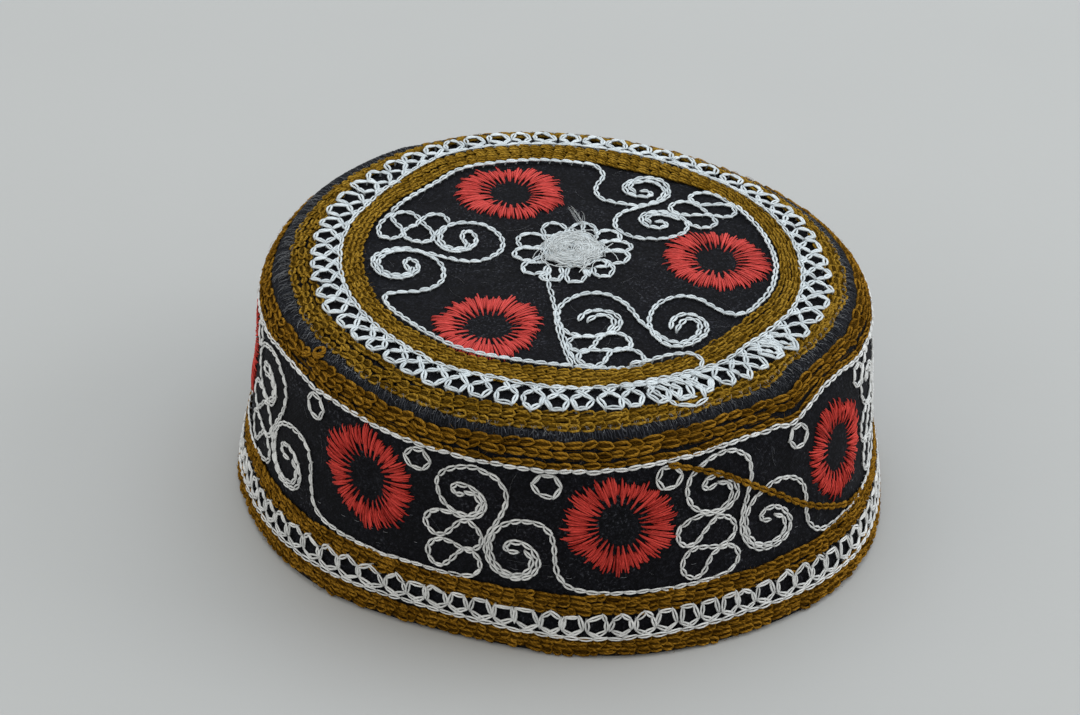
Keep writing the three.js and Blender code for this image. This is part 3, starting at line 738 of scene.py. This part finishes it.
STEM_2 = [(-2.1, -29), (-1.2, -33.5), (-0.2, -38), (0.8, -43), (1.9, -47.5), (3.3, -50.8), (4.6, -53.4)]
STRAY_WHITE = [(18, -53.9), (21, -52.8), (24.5, -51.3), (28, -49.3), (31.5, -48), (35, -47.8), (37.3, -49.2), (38.1, -51.6), (37.3, -53.8)]

t = Threads()
def beside_gold(nodes):
    """Chain on the crown lies on the cloth, and a little higher where it runs against the ochre band."""
    return 0.1 + 0.6 * np.clip((np.hypot(nodes[:, 0], nodes[:, 1]) - 52.5) / 3, 0, 1)


fine = dict(pitch=3.3, half=0.51, radius=0.325, wild=0.9, lift=beside_gold)
for path in (FRONT_ARC + SCROLL_A1, SCROLL_A2, CLUSTER_A[-1:] + BACK_ARC + SCROLL_B1, SCROLL_B2, CLUSTER_B[-1:] + RIGHT_ARC + SCROLL_C1, SCROLL_C2):
    chain(t, crown_chart, path, **fine)
for path in (SCROLL_A3, SCROLL_B3, SCROLL_C3):
    chain(t, crown_chart, path, **fine)
chain(t, crown_chart, STRAY_WHITE, 3.4, 0.46, 0.285, lift=1.35)
for path in (CLUSTER_A, CLUSTER_B, CLUSTER_C):
    chain_nodes(t, crown_chart, path, 0.51, 0.325, 0.8, 0.1)
chain(t, crown_chart, STEM, 3.6, 0.48, 0.27)
chain(t, crown_chart, STEM_2, 3.4, 0.45, 0.26)
finish_piece(t.mesh("white_crown_scrolls", WHITE_CROWN_PAINTED_LIGHT), "white_thread")

# Flower in the middle of the crown: petals round a densely worked disc.
PETALS = [
    [(-2, 11), (-5.6, 12), (-6.3, 16), (-4.5, 19), (-1.5, 19.2), (0.8, 16.4), (0.5, 12.3)],
    [(2, 14), (2, 17.5), (4, 20.3), (7, 20.5), (9.2, 18), (9.3, 14.3)],
    [(5.6, 20.2), (5.4, 17), (5.6, 13.5)],
    [(9, 11.6), (10, 16), (13.5, 17.2), (16, 15.3), (16.2, 11.8), (13, 10.6), (10, 10)],
    [(10.2, 8.6), (13, 10.8), (16.3, 10.7), (18.6, 9.8), (19.3, 7.2), (17.4, 5.4), (13.5, 5.4), (10.2, 5.3)],
    [(10, 4.2), (13.4, 5), (17.2, 4.8), (18.5, 2.4), (16.9, -1), (13.5, -2), (10.6, 0)],
    [(8.4, -1), (10.5, 0), (12.5, -1.5), (12, -3.8), (9.2, -4)],
    [(8.2, -4.2), (8.7, -8.2), (10, -9.4), (13, -8.8), (14.2, -5), (13.2, -2.4)],
    [(1.2, -5), (0.5, -9), (1.3, -12.6), (5, -12.3), (6.3, -9), (5.8, -5.4)],
    [(6, -5.6), (7, -8.8), (7.6, -6)],
    [(-4.3, -5), (-4.3, -8.8), (-4.3, -12), (-1.3, -12), (-0.5, -8.5), (-1.2, -5)],
    [(-4.6, -8.2), (-6.8, -10.4), (-5.6, -12), (-4.2, -12.4)],
    [(-5.2, -2.8), (-10.5, -3), (-12, -5.5), (-11.5, -8.5), (-8.5, -9.4), (-5.5, -8), (-4.6, -4.6)],
    [(-6, 0.4), (-9, -2), (-12, -1.8), (-14.4, 0), (-14.2, 3), (-12, 5), (-8.5, 4.6), (-6, 4.2)],
    [(-5.8, 5.4), (-9, 5.2), (-12.5, 5.3), (-13.3, 8.5), (-12.9, 11), (-9.8, 12.9), (-6.3, 11.9), (-5.2, 9.4)]]
t = Threads()
for path in PETALS:
    chain_nodes(t, crown_chart, path, 0.48, 0.31, longest=4.2)
CENTRE, RX, RY = np.array([2.4, 4.7]), 8.2, 9.8


def blob(a):
    """Uneven outline of the flower's middle."""
    return 1 + 0.055 * np.sin(2 * a + 0.6) + 0.05 * np.sin(5 * a + 1.9) + 0.035 * np.sin(9 * a)


# uneven turns of chain under it, then fine silky thread wound over them
for k, q in enumerate((0.92, 0.72, 0.50, 0.28)):
    a = np.linspace(0, 2 * np.pi, 17)[:-1] + k
    jig = 1 + RNG.normal(0, 0.06, (16, 1))
    chain(t, crown_chart, CENTRE + q * jig * np.stack([RX * np.cos(a), RY * np.sin(a)], 1), 2.7, 0.62, 0.36, wild=1.8, lift=0.15 + 0.3 * (1 - q), closed=True)
# thicker strands over the turns, darker by a random amount: painted shade under the silk
n = 130
f = np.linspace(-0.5, 0.5, 7)[None]
q = np.sqrt(RNG.uniform(0.0, 0.95, n))[:, None]
a = RNG.uniform(0, 2 * np.pi, n)[:, None] + f * RNG.uniform(0.6, 1.1, n)[:, None] / np.maximum(q, 0.4)
t.add(crown_chart, np.stack([CENTRE[0] + RX * q * blob(a) * np.cos(a), CENTRE[1] + RY * q * blob(a) * np.sin(a), 0.45 + 0.5 * np.sqrt(1 - q ** 2) + RNG.normal(0, 0.12, (n, 1)) + 0 * a], -1), 0.36, shade=RNG.uniform(0.45, 0.9, (n, 1)))
finish_piece(t.mesh("white_flower", WHITE_CROWN_PAINTED_LIGHT), "white_thread")
t = Threads()
m_ = 9
f = np.linspace(-0.5, 0.5, m_)[None]
for n, cx, cy, size, messy in ((250, -0.4, -0.5, 1.0, 0.5), (70, 4.0, -0.6, 0.42, 0.3), (60, -4.6, 0.6, 0.40, 0.7)):
    q = np.sqrt(RNG.uniform(0.0, 1.0, n)) * RNG.normal(1, 0.09, n)
    a = RNG.uniform(0, 2 * np.pi, n)[:, None] + f * RNG.uniform(0.5, 1.3, n)[:, None] / np.maximum(q, 0.45)[:, None]
    drift = q[:, None] * (1 + f * RNG.normal(0.05, 0.35, n)[:, None])
    shift = RNG.normal(0, messy, (n, 2))
    x = CENTRE[0] + cx * (1 - 0.7 * q[:, None] * (size == 1)) + size * RX * drift * blob(a) * np.cos(a) + shift[:, :1]
    y = CENTRE[1] + cy * (1 - 0.7 * q[:, None] * (size == 1)) + size * RY * drift * blob(a) * np.sin(a) + shift[:, 1:]
    far = np.hypot((x - CENTRE[0]) / RX, (y - CENTRE[1]) / RY)
    h = 0.95 + 0.5 * np.sqrt(np.clip(1 - far ** 2, 0, 1)) + RNG.uniform(-0.2, 0.3, (n, 1)) + 0.1 * (size < 1)
    h[:, [0, -1]] -= 0.5
    t.add(crown_chart, np.stack([x, y, h], -1), RNG.uniform(0.09, 0.17, (n, 1)), shade=RNG.uniform(0.6, 1.0, (n, 1)))
# frayed ends behind the flower
n = 11
f = np.linspace(0, 1, 7)
start = np.array([5.4, 18.6]) + RNG.normal(0, 0.3, (n, 2))
end = np.where(RNG.random((n, 1)) < 0.7, np.array([[1.4, 27.2]]), np.array([[4.6, 24.4]])) + RNG.normal(0, 0.6, (n, 2)) * np.array([1.0, 1.6])
bow = RNG.normal(-0.5, 0.6, (n, 1)) * np.sin(np.pi * f)[None]
p = start[:, None] + (end - start)[:, None] * f[None, :, None]
p[..., 0] += bow
h = 0.5 + 1.7 * np.sin(np.pi * f * 0.75)[None] + RNG.normal(0, 0.3, (n, 1)) * f[None]
t.add(crown_chart, np.concatenate([p, np.maximum(h, 0.15)[..., None]], -1), np.array([0.05, 0.05, 0.05, 0.045, 0.045, 0.04, 0.03]), shade=0.6)
finish_piece(t.mesh("white_flower_disc", SILK), "white_thread")


def border(threads, chart, per_deg, centres, base, tips, half, radius, lift=0.0, tip_lift=0.9, foot=0.24, pointed=0.2, upright=False):
    """Links worked as one five-sided loop per unit, crossing where it leaves the base line."""
    gaps = np.diff(np.r_[centres, centres[0] + 360])
    for c, g0, g1 in zip(centres, np.r_[gaps[-1], gaps[:-1]], gaps):
        w = 0.5 * (g0 + g1) * per_deg
        b, e = float(base(c)), float(tips(c))
        hgt = e - b
        x = c * per_deg
        skew = RNG.normal(0, 0.05)
        flat = RNG.uniform(0.19, 0.29)
        wide = RNG.uniform(0.405, 0.445)
        peak = RNG.normal(0, 0.10)
        if upright:  # loops with steep sides that touch the next loop
            wide += 0.025
            unit = [(-foot, -0.03), (wide, 0.27), (flat + 0.08, 0.90), (-flat - 0.08, 0.90), (-wide, 0.27), (foot, -0.03)]
            point = [(-foot, -0.03), (wide, 0.25), (wide - 0.05, 0.74), (peak, 1.03), (0.05 - wide, 0.74), (-wide, 0.25), (foot, -0.03)]
        else:
            unit = [(-foot, -0.03), (wide, 0.50), (flat, 0.94), (-flat, 0.94), (-wide, 0.50), (foot, -0.03)]
            point = [(-foot, -0.03), (wide, 0.44), (0.33, 0.77), (0.5 * peak, 1.04), (-0.33, 0.77), (-wide, 0.44), (foot, -0.03)]
        if RNG.random() < pointed:  # some loops come to a point
            unit = point
        j = RNG.normal(0, 0.025, (len(unit), 2))
        nodes = [(x + (ux + jx + skew * uy) * w, b + (uy + jy) * hgt) for (ux, uy), (jx, jy) in zip(unit, j)]
        rise = [lift + tip_lift * max(uy, 0) ** 1.5 for ux, uy in unit]
        chain_nodes(threads, chart, nodes, half, radius, 1.2, rise, longest=6.5)


# Crown border: unit centres by direction, then the base line over them.
UNITS = [-172.5, -166.7, -160.8, -155.3, -149.8, -143.7, -138.0, -132.8, -127.0, -121.2, -116.0, -110.4, -105.0, -99.4, -93.8, -88.8, -84.2, -78.6, -73.4, -67.5, -60.6, -54.2, -48.2, -42.4, -36.4, -30.3, -24.5, -18.6, -13.0, -7.2, -1.6, 5.0, 11.8, 18.0, 24.0, 29.8, 35.6, 41.5, 47.3, 53.0, 58.8, 64.5, 70.0, 75.4, 80.6, 87.0, 93.4, 99.6, 105.6, 112.0, 118.2, 124.6, 131.0, 137.4, 143.4, 149.4, 156.0, 162.6, 169.6, 175.6, 181.4]
t = Threads()
border(t, rim_chart, RIM_DEG, np.array(UNITS), BASE, TIPS, 0.50, 0.36, lift=0.3, foot=0.31)
deg = np.linspace(-180, 180, 361)
chain(t, rim_chart, np.stack([deg * RIM_DEG, BASE(deg) - 0.2 + 0.25 * np.sin(np.radians(deg) * 61)], 1), 4.0, 0.46, 0.29, smooth=False, lift=0.85)
# the untidy join of the border
for path in ([(-112, 66.5), (-110.4, 71), (-108, 75.4), (-104.5, 77.2), (-101.4, 75.6), (-100.4, 71.4), (-102.4, 67.4)],
             [(-108.6, 66.2), (-105.2, 70.4), (-106.8, 73.2), (-103.4, 74.2)], [(-104.8, 66), (-101.8, 70.2), (-99, 73.4), (-97.4, 70.4), (-99.6, 66.4)]):
    chain_nodes(t, rim_chart, [(d * RIM_DEG, s) for d, s in path], 0.43, 0.31, lift=1.0)
chain(t, rim_chart, [(d * RIM_DEG, s) for d, s in [(-118, 65.2), (-112, 65.8), (-106, 66.4), (-100, 66.6), (-95, 67.2)]], 3.4, 0.46, 0.36, lift=0.9)
for path in ([(-82, 66.6), (-79.5, 70), (-77.4, 74.4), (-75.4, 71.2), (-77.8, 66.6)], [(-76.6, 66.4), (-74.4, 70.6), (-72.2, 75.2), (-70.4, 71.4), (-72.8, 67)]):
    chain_nodes(t, rim_chart, [(d * RIM_DEG, s) for d, s in path], 0.44, 0.32, lift=0.8)
finish_piece(t.mesh("white_crown_border", WHITE_CROWN_PAINTED_LIGHT), "white_thread")

# ---------------------------------------------------------------------------
# Side: two worked motifs, repeated around with small differences
# ---------------------------------------------------------------------------
G_IN = [(-152, 129.4), (-149.5, 129.3), (-147.2, 128.4), (-145.9, 125.8), (-145.9, 122.8), (-147.2, 120.5), (-148.9, 120.0), (-150.3, 122.4), (-151.6, 125.2), (-152.9, 127.4), (-154.4, 127.7), (-155.7, 125.2), (-155.7, 122.0), (-154.6, 119.6), (-152.9, 118.4), (-150.9, 118.9), (-149.0, 119.9), (-147.2, 119.6), (-145.8, 117.8), (-145.6, 114.8), (-146.6, 112.2), (-148.1, 110.3), (-149.6, 111.2), (-151.0, 114.0), (-152.4, 116.6), (-154.2, 117.6), (-155.7, 116.0), (-156.3, 113.2), (-155.4, 110.6), (-153.4, 109.1), (-151.0, 108.9), (-149.0, 109.6)]
G_HOOK = [(-149.0, 109.6), (-147.2, 109.2), (-145.6, 107.4), (-144.8, 104.6), (-145.3, 101.9), (-146.6, 100.0), (-148.4, 98.9), (-150.2, 99.2), (-151.1, 100.8), (-150.1, 102.8), (-148.9, 102.0)]
G_ARC = [(-148.8, 101.3), (-147.2, 101.2), (-145.9, 102.6), (-145.7, 105.0), (-146.5, 107.3), (-148.0, 108.8), (-150.2, 108.6), (-152.3, 106.8), (-153.6, 103.8), (-154.0, 100.3), (-153.2, 97.2), (-151.5, 94.9), (-149.2, 93.3), (-146.7, 92.7), (-144.3, 93.6), (-142.3, 95.8), (-141.1, 99.0), (-141.2, 102.5), (-142.0, 106.0), (-143.0, 109.4), (-144.2, 112.6), (-144.9, 116.0), (-144.8, 120.0), (-144.0, 123.5), (-142.4, 125.9), (-140.1, 126.9), (-137.8, 126.2), (-136.1, 123.9), (-135.5, 120.4), (-136.2, 117.1), (-137.3, 115.2), (-138.8, 114.2), (-140.6, 114.6), (-141.6, 116.4), (-140.8, 118.0), (-139.1, 117.9)]
G_TAIL = [(-138.0, 117.0), (-136.9, 118.2), (-136.6, 120.6), (-137.1, 123.2), (-138.6, 125.2), (-140.6, 125.5), (-142.4, 124.3), (-143.6, 121.5), (-144.0, 118.0), (-143.9, 114.6), (-143.2, 111.9), (-142.0, 109.6), (-140.2, 108.0), (-138.0, 107.2), (-135.8, 107.4), (-134.2, 109.0), (-133.1, 112.0), (-132.9, 116.0), (-132.7, 120.0), (-132.4, 123.5), (-131.3, 126.5), (-129.3, 128.2), (-126.5, 129.0), (-123.5, 129.2)]
H_IN = [(-108, 129.0), (-105, 129.0), (-102.4, 128.5), (-100.7, 126.8), (-99.9, 124.3), (-100.8, 121.2), (-102.2, 119.8), (-103.8, 119.8), (-105.4, 121.8), (-106.3, 124.6), (-107.3, 127.0), (-108.8, 127.8), (-110.3, 126.4), (-111.0, 123.9), (-110.6, 120.8), (-109.5, 118.6), (-107.9, 118.0), (-106.0, 118.7), (-104.0, 119.4), (-102.2, 118.6), (-100.8, 116.6), (-100.4, 114.3), (-101.3, 111.8), (-102.6, 110.3), (-104.2, 109.8), (-105.6, 111.8), (-107.0, 114.2), (-108.4, 116.6), (-110.1, 117.0), (-111.4, 115.4), (-111.8, 113.0), (-111.0, 110.5), (-109.0, 108.7), (-106.6, 108.0), (-104.6, 108.7)]
H_HOOK = [(-104.6, 108.7), (-102.8, 108.5), (-100.8, 107.0), (-99.6, 104.4), (-100.1, 101.5), (-101.1, 99.2), (-102.5, 97.2), (-104.6, 96.8), (-106.4, 98.0), (-106.6, 99.8), (-105.3, 100.8), (-104.0, 99.8)]
H_ARC = [(-103.6, 99.4), (-102.2, 99.6), (-101.2, 101.6), (-100.8, 103.8), (-101.7, 106.3), (-103.2, 107.9), (-105.2, 107.9), (-107.3, 106.9), (-108.7, 105.0), (-109.5, 102.4), (-109.7, 99.4), (-109.3, 96.4), (-107.9, 93.8), (-105.8, 91.9), (-103.3, 90.9), (-101.0, 90.8), (-99.0, 92.0), (-97.5, 94.0), (-96.6, 97.0), (-96.6, 100.2), (-97.1, 103.5), (-98.0, 107.0), (-98.7, 110.2), (-99.2, 113.6), (-99.2, 117.2), (-98.6, 120.4), (-97.4, 123.0), (-95.5, 124.8), (-93.0, 125.5), (-90.8, 125.0), (-89.0, 123.2), (-88.3, 121.0), (-88.7, 118.4), (-89.6, 116.0), (-91.0, 114.0), (-92.6, 112.7), (-94.4, 113.0), (-95.3, 114.8), (-94.4, 116.5), (-93.0, 116.8)]
H_TAIL = [(-92.0, 115.9), (-90.6, 116.9), (-89.8, 119.0), (-89.8, 121.4), (-90.9, 123.4), (-93.0, 124.3), (-95.3, 123.6), (-97.0, 121.8), (-98.0, 119.0), (-98.3, 115.5), (-98.2, 112.2), (-97.3, 109.7), (-95.7, 107.7), (-93.5, 106.3), (-91.0, 105.5), (-88.7, 106.0), (-86.5, 107.8), (-85.0, 110.2), (-84.3, 113.0), (-84.3, 116.5), (-84.5, 120.0), (-84.5, 122.5), (-83.5, 125.5), (-82.0, 127.8), (-80.0, 129.0), (-77.0, 129.5), (-73.0, 129.6)]
G = (G_IN, G_HOOK, G_ARC, G_TAIL)
H = (H_IN, H_HOOK, H_ARC, H_TAIL)
MOTIFS = [  # which, anchor in it, where that goes, width against the first, unevenness in mm
    (G, -132.8, -182.2, 1.22, 0.0), (G, 0.0, 0.0, 1.0, 0.0), (H, 0.0, 0.0, 1.0, 0.0), (H, -84.3, -35.6, 1.0, 0.35),
    (G, -132.8, 18.6, 1.12, 0.45), (H, -84.3, 73.0, 1.10, 0.4), (G, -132.8, 126.4, 1.12, 0.45)]
ROSETTES = [(-221.5, 107.5), (-168.5, 107.2), (-121.8, 107.8), (-73.2, 108.4), (-24.2, 107.6), (30.5, 107.9), (84.5, 107.4)]
HEXES = [(-182.1, 94.6), (-157.7, 94.9), (-134.2, 95.2), (-112.9, 94.3), (-84.8, 95.8), (-62.3, 94.4), (-36.2, 95.0), (-12.5, 94.8), (17.0, 95.2), (43.0, 94.6), (71.5, 95.0), (97.5, 94.7), (124.5, 95.1), (150.5, 95.2)]

t = Threads()
ends, starts = [], []
for which, at, to, width, rough in MOTIFS:
    moved = []
    for part in which:
        p = np.array(part, float)
        p[:, 0] = to + (p[:, 0] - at) * width
        if rough:
            p[1:-1] += RNG.normal(0, rough * 0.5, (len(p) - 2, 2)) * np.array([0.45, 0.7])
        p[:, 0] *= SIDE_DEG
        moved.append(p)
    starts.append(moved[0][0])
    ends.append(moved[3][-1])
    chain_nodes(t, side_chart, moved[0], 0.51, 0.305, 0.9)
    for p in moved[1:]:
        chain(t, side_chart, p, 3.3, 0.51, 0.305, 0.9)
# lower line under each rosette, from one motif's tail to the next one's loops
for k in range(len(MOTIFS)):
    a, b = ends[k], starts[(k + 1) % len(MOTIFS)].copy()
    while b[0] < a[0]:
        b[0] += 360 * SIDE_DEG
    x = np.linspace(a[0], b[0], 8)
    y = np.interp(x, [a[0], b[0]], [a[1], b[1]]) + np.r_[0, RNG.normal(0, 0.12, 6), 0]
    chain(t, side_chart, np.stack([x, y], 1), 3.7, 0.38, 0.27, lift=0.4)
deg = np.linspace(-180, 180, 361)
chain(t, side_chart, np.stack([deg * SIDE_DEG, UPPER_LINE(deg) + 0.12 * np.sin(np.radians(deg) * 53)], 1), 3.8, 0.38, 0.29, smooth=False, lift=0.5)
for c, s in HEXES:
    turn = RNG.uniform(-0.15, 0.15) + np.pi / 6 * 0
    n = 6
    a = -np.pi / 2 + turn + np.arange(n + 1) * 2 * np.pi / n + np.pi / n
    r = 3.75 * (1 + RNG.normal(0, 0.06, n + 1))
    r[-1] = r[0]
    nodes = np.stack([c * SIDE_DEG + r * np.cos(a), s + 0.98 * r * np.sin(a)], 1)
    chain_nodes(t, side_chart, nodes, 0.49, 0.30)
finish_piece(t.mesh("white_side_scrolls", WHITE), "white_thread")

t = Threads()
seen = [-198.4, -194.2, -189.6, -185.0, -180.5, -176.0, -171.5, -166.8, -161.9, -157.8, -153.8, -149.9, -145.8, -141.8, -137.5, -133.4, -129.9, -125.8, -121.7, -117.8, -114.0, -110.2, -106.4, -102.6, -99.4, -95.6, -91.5, -87.4, -83.7, -79.8, -75.7, -71.7, -67.8, -63.9]
hidden = np.linspace(-63.9, 161.6, 56)[1:-1]
centres = np.r_[seen, hidden + RNG.normal(0, 0.18, len(hidden))]
border(t, side_chart, SIDE_DEG, centres, HEM_BASE, HEM_TOPS, 0.45, 0.30, lift=0.3, foot=0.21, pointed=0.6, upright=True)
chain(t, side_chart, np.stack([deg * SIDE_DEG, HEM_BASE(deg) + 0.35 + 0.2 * np.sin(np.radians(deg) * 88)], 1), 3.9, 0.44, 0.26, smooth=False, lift=0.9)
finish_piece(t.mesh("white_side_border", WHITE), "white_thread")

# ---------------------------------------------------------------------------
# Red rosettes: satin stitch in small fans of parallel strands
# ---------------------------------------------------------------------------


def rosette(threads, chart, centre, inner, outer, bundles=29):
    """Strands in small bundles: their inner ends stand like teeth round the bare middle, their outer ends in ragged points."""
    f = np.array([0.0, 0.07, 0.28, 0.55, 0.8, 0.95, 1.0])
    lift = np.array([-0.1, 0.22, 0.46, 0.56, 0.48, 0.26, -0.1])
    wide = RNG.uniform(0.7, 1.3, bundles)
    edge = RNG.uniform(0, 2 * np.pi) + np.r_[0, np.cumsum(wide)] / wide.sum() * 2 * np.pi
    all_, rad, shade = [], [], []
    phase = RNG.uniform(0, 2 * np.pi, 4)
    for g in range(bundles):
        half = 0.5 * (edge[g + 1] - edge[g])
        middle = edge[g] + half
        count = max(4, int(round(6.2 * wide[g])))
        reach = RNG.normal(0, 0.4) + 0.5 * math.sin(2 * middle + phase[0]) + 0.4 * math.sin(3 * middle + phase[1]) + 0.4 * math.sin(5 * middle + phase[2])
        bare = 0.35 * math.sin(2 * middle + phase[3])
        tilt = RNG.normal(0, 0.018)
        for k in range(count):
            o = (k + 0.5) / count * 2 - 1
            short = abs(o) > 0.4
            a = middle + half * o * (0.95 if short else 0.45) + RNG.normal(0, 0.010)
            ri = inner + bare + (RNG.normal(2.7, 0.6) if short else RNG.normal(0.1, 0.5))
            ro = outer + reach + (RNG.normal(-1.4, 0.45) if RNG.random() < 0.3 else RNG.normal(0.8 - 1.7 * abs(o), 0.4))
            ao = middle + tilt + 0.92 * half * o + RNG.normal(0, 0.012)
            p0 = ri * np.array([math.cos(a), math.sin(a)])
            p1 = ro * np.array([math.cos(ao), math.sin(ao)])
            line = p0 + (p1 - p0) * f[:, None]
            h = lift * RNG.uniform(0.8, 1.2) + RNG.uniform(0, 0.16)
            h[[0, -1]] = -0.12
            all_.append(np.concatenate([np.array(centre) + line, h[:, None]], 1))
            rad.append(RNG.uniform(0.23, 0.29) * np.array([0.5, 0.75, 0.95, 1.08, 1.08, 0.8, 0.3]))
            # painted shade: darker at the inner end, where the strand goes into the cloth; some strands are also darker
            # at random
            shade.append(np.array([0.4, 0.75, 1, 1, 1, 0.95, 0.85]) * RNG.choice([1.0, 0.95, 0.7], p=[0.5, 0.3, 0.2]))
    threads.add(chart, np.array(all_), np.array(rad), 0.7, np.array(shade))


t = Threads(4)
for c in ((-15.5, 36.4), (43.0, 3.6), (-20.6, -36.4)):
    rosette(t, crown_chart, c, 6.2, 15.2)
finish_piece(t.mesh("red_crown_rosettes", RED), "red_thread")
# the side's rosettes take the red copy with painted shade
t = Threads(4)
for d, s in ROSETTES:
    rosette(t, side_chart, (d * SIDE_DEG, s), 6.4, 14.5 if d == -73.2 else 15.2)
finish_piece(t.mesh("red_side_rosettes", RED_SIDE_PAINTED_SHADE), "red_thread")

# ---------------------------------------------------------------------------
# Loose fibres: tacking dashes in the side's field and stray hairs
# ---------------------------------------------------------------------------
t = Threads(3)
deg = np.arange(-180, 180, 3.1)
keep = RNG.random(len(deg)) < 0.55
deg = deg[keep]
f = np.linspace(-0.5, 0.5, 4)
x = deg[:, None] * SIDE_DEG + f[None] * RNG.uniform(1.0, 1.9, (len(deg), 1))
y = 123.6 + 0.9 * np.sin(np.radians(deg) * 5)[:, None] + RNG.normal(0, 0.25, (len(deg), 1)) + 0 * f[None]
h = np.broadcast_to(np.array([-0.05, 0.16, 0.16, -0.05]), x.shape)
t.add(side_chart, np.stack([x, y, h], -1), 0.09)
n = 110
f = np.linspace(-0.5, 0.5, 8)
centre = np.stack([RNG.uniform(-180, 180, n) * SIDE_DEG, RNG.uniform(92, 128, n)], 1)
a = RNG.uniform(0, np.pi, n)
size = RNG.gamma(2.0, 1.6, n)
bend = RNG.normal(0, 0.35, n)
x = centre[:, :1] + size[:, None] * (f[None] * np.cos(a)[:, None] - bend[:, None] * (f[None] ** 2) * np.sin(a)[:, None])
y = centre[:, 1:] + size[:, None] * (f[None] * np.sin(a)[:, None] + bend[:, None] * (f[None] ** 2) * np.cos(a)[:, None])
h = 0.12 + 0.25 * RNG.random((n, 1)) + 0 * f[None]
t.add(side_chart, np.stack([x, y, h], -1), 0.019)
n = 110
a0, r0 = RNG.uniform(0, 2 * np.pi, n), 56 * np.sqrt(RNG.uniform(0.02, 1, n))
centre = np.stack([r0 * np.cos(a0), r0 * np.sin(a0)], 1)
a = RNG.uniform(0, np.pi, n)
size = RNG.gamma(2.0, 1.8, n)
bend = RNG.normal(0, 0.4, n)
x = centre[:, :1] + size[:, None] * (f[None] * np.cos(a)[:, None] - bend[:, None] * (f[None] ** 2) * np.sin(a)[:, None])
y = centre[:, 1:] + size[:, None] * (f[None] * np.sin(a)[:, None] + bend[:, None] * (f[None] ** 2) * np.cos(a)[:, None])
h = 0.12 + 0.3 * RNG.random((n, 1)) + 0 * f[None]
t.add(crown_chart, np.stack([x, y, h], -1), 0.018)
finish_piece(t.mesh("loose_fibres", GREY), "seam_thread")

# ---------------------------------------------------------------------------
# Floor, light and camera
# ---------------------------------------------------------------------------
m = Nodes("floor_paint")
coord = m.new("ShaderNodeTexCoord").outputs["Object"]
base = m.mix(m.noise(6.0, 3.0, 0.5, coord), (0.449, 0.451, 0.444), (0.477, 0.479, 0.472))
grain = m.noise(220.0, 4.0, 0.6, coord)
m.put(m.shader, "Base Color", base)
m.put(m.shader, "Roughness", 0.7)
m.put(m.shader, "Specular IOR Level", 0.2)
m.put(m.shader, "Normal", m.new("ShaderNodeBump", Strength=0.12, Distance=0.0004, Height=grain).outputs[0])
size = 3.0
n = 24
g = np.linspace(-size, size, n + 1)
gx, gy = np.meshgrid(g, g)
co = np.stack([gx, gy, np.full_like(gx, -0.0002)], -1).reshape(-1, 3)
i, j = np.meshgrid(np.arange(n), np.arange(n))
quads = np.stack([i * (n + 1) + j, i * (n + 1) + j + 1, (i + 1) * (n + 1) + j + 1, (i + 1) * (n + 1) + j], -1).reshape(-1, 4)
floor = mesh_object("floor", co, quads, m.material)

world = bpy.data.worlds.new("studio")
bpy.context.scene.world = world
world.use_nodes = True
background = world.node_tree.nodes["Background"]
background.inputs["Color"].default_value = (1.0, 0.99, 0.95, 1)
background.inputs["Strength"].default_value = 0.735


def area_light(name, place, target, size, power, colour):
    data = bpy.data.lights.new(name, "AREA")
    data.shape = "RECTANGLE"
    data.size, data.size_y = size
    data.energy = power
    data.color = colour
    ob = bpy.data.objects.new(name, data)
    ob.location = place
    ob.rotation_euler = (Vector(target) - Vector(place)).to_track_quat("-Z", "Y").to_euler()
    bpy.context.scene.collection.objects.link(ob)
    return ob


AZ = math.radians(TURN)
right = Vector((math.cos(AZ), math.sin(AZ), 0))
away = Vector((-math.sin(AZ), math.cos(AZ), 0))
area_light("top_back", away * 0.65 + right * 0.25 + Vector((0, 0, 1.8)), (0, 0, 0.03), (2.2, 1.6), 17.5, (0.75, 0.875, 1.0))
area_light("right_side", right * 1.7 + away * 0.2 + Vector((0, 0, 0.9)), (0, 0, 0.03), (1.2, 1.2), 10.3, (0.95, 0.98, 1.0))
area_light("left_side", right * -1.55 - away * 0.6 + Vector((0, 0, 0.8)), (0, 0, 0.03), (1.2, 1.2), 3.3, (1.0, 0.99, 0.96))

ELEVATION, DISTANCE, ROLL, FOCAL = 31.5, 0.900, 1.405, 3093.4
target = Vector((-3.784 + MIDDLE[0], 7.115 + MIDDLE[1], 35.0)) * MM
e, r = math.radians(ELEVATION), math.radians(ROLL)
back = Vector((math.sin(AZ) * math.cos(e), -math.cos(AZ) * math.cos(e), math.sin(e)))
level = Vector((math.cos(AZ), math.sin(AZ), 0))
up = back.cross(level)
cam_x = level * math.cos(r) + up * math.sin(r)
cam_y = up * math.cos(r) - level * math.sin(r)
data = bpy.data.cameras.new("camera")
data.sensor_fit = "HORIZONTAL"
data.sensor_width = 36.0
data.lens = FOCAL / 1080 * 36.0
data.clip_start, data.clip_end = 0.01, 20
camera = bpy.data.objects.new("camera", data)
place = target + back * DISTANCE
camera.matrix_world = Matrix(((cam_x.x, cam_y.x, back.x, place.x), (cam_x.y, cam_y.y, back.y, place.y), (cam_x.z, cam_y.z, back.z, place.z), (0, 0, 0, 1)))
bpy.context.scene.collection.objects.link(camera)
bpy.context.scene.camera = camera
bpy.context.scene.view_settings.view_transform = "Standard"

total = 0
for ob in pieces:
    k = sum(len(p.vertices) - 2 for p in ob.data.polygons)
    total += k
    print(f"{ob.name}: {k} triangles")
print("all pieces:", total)
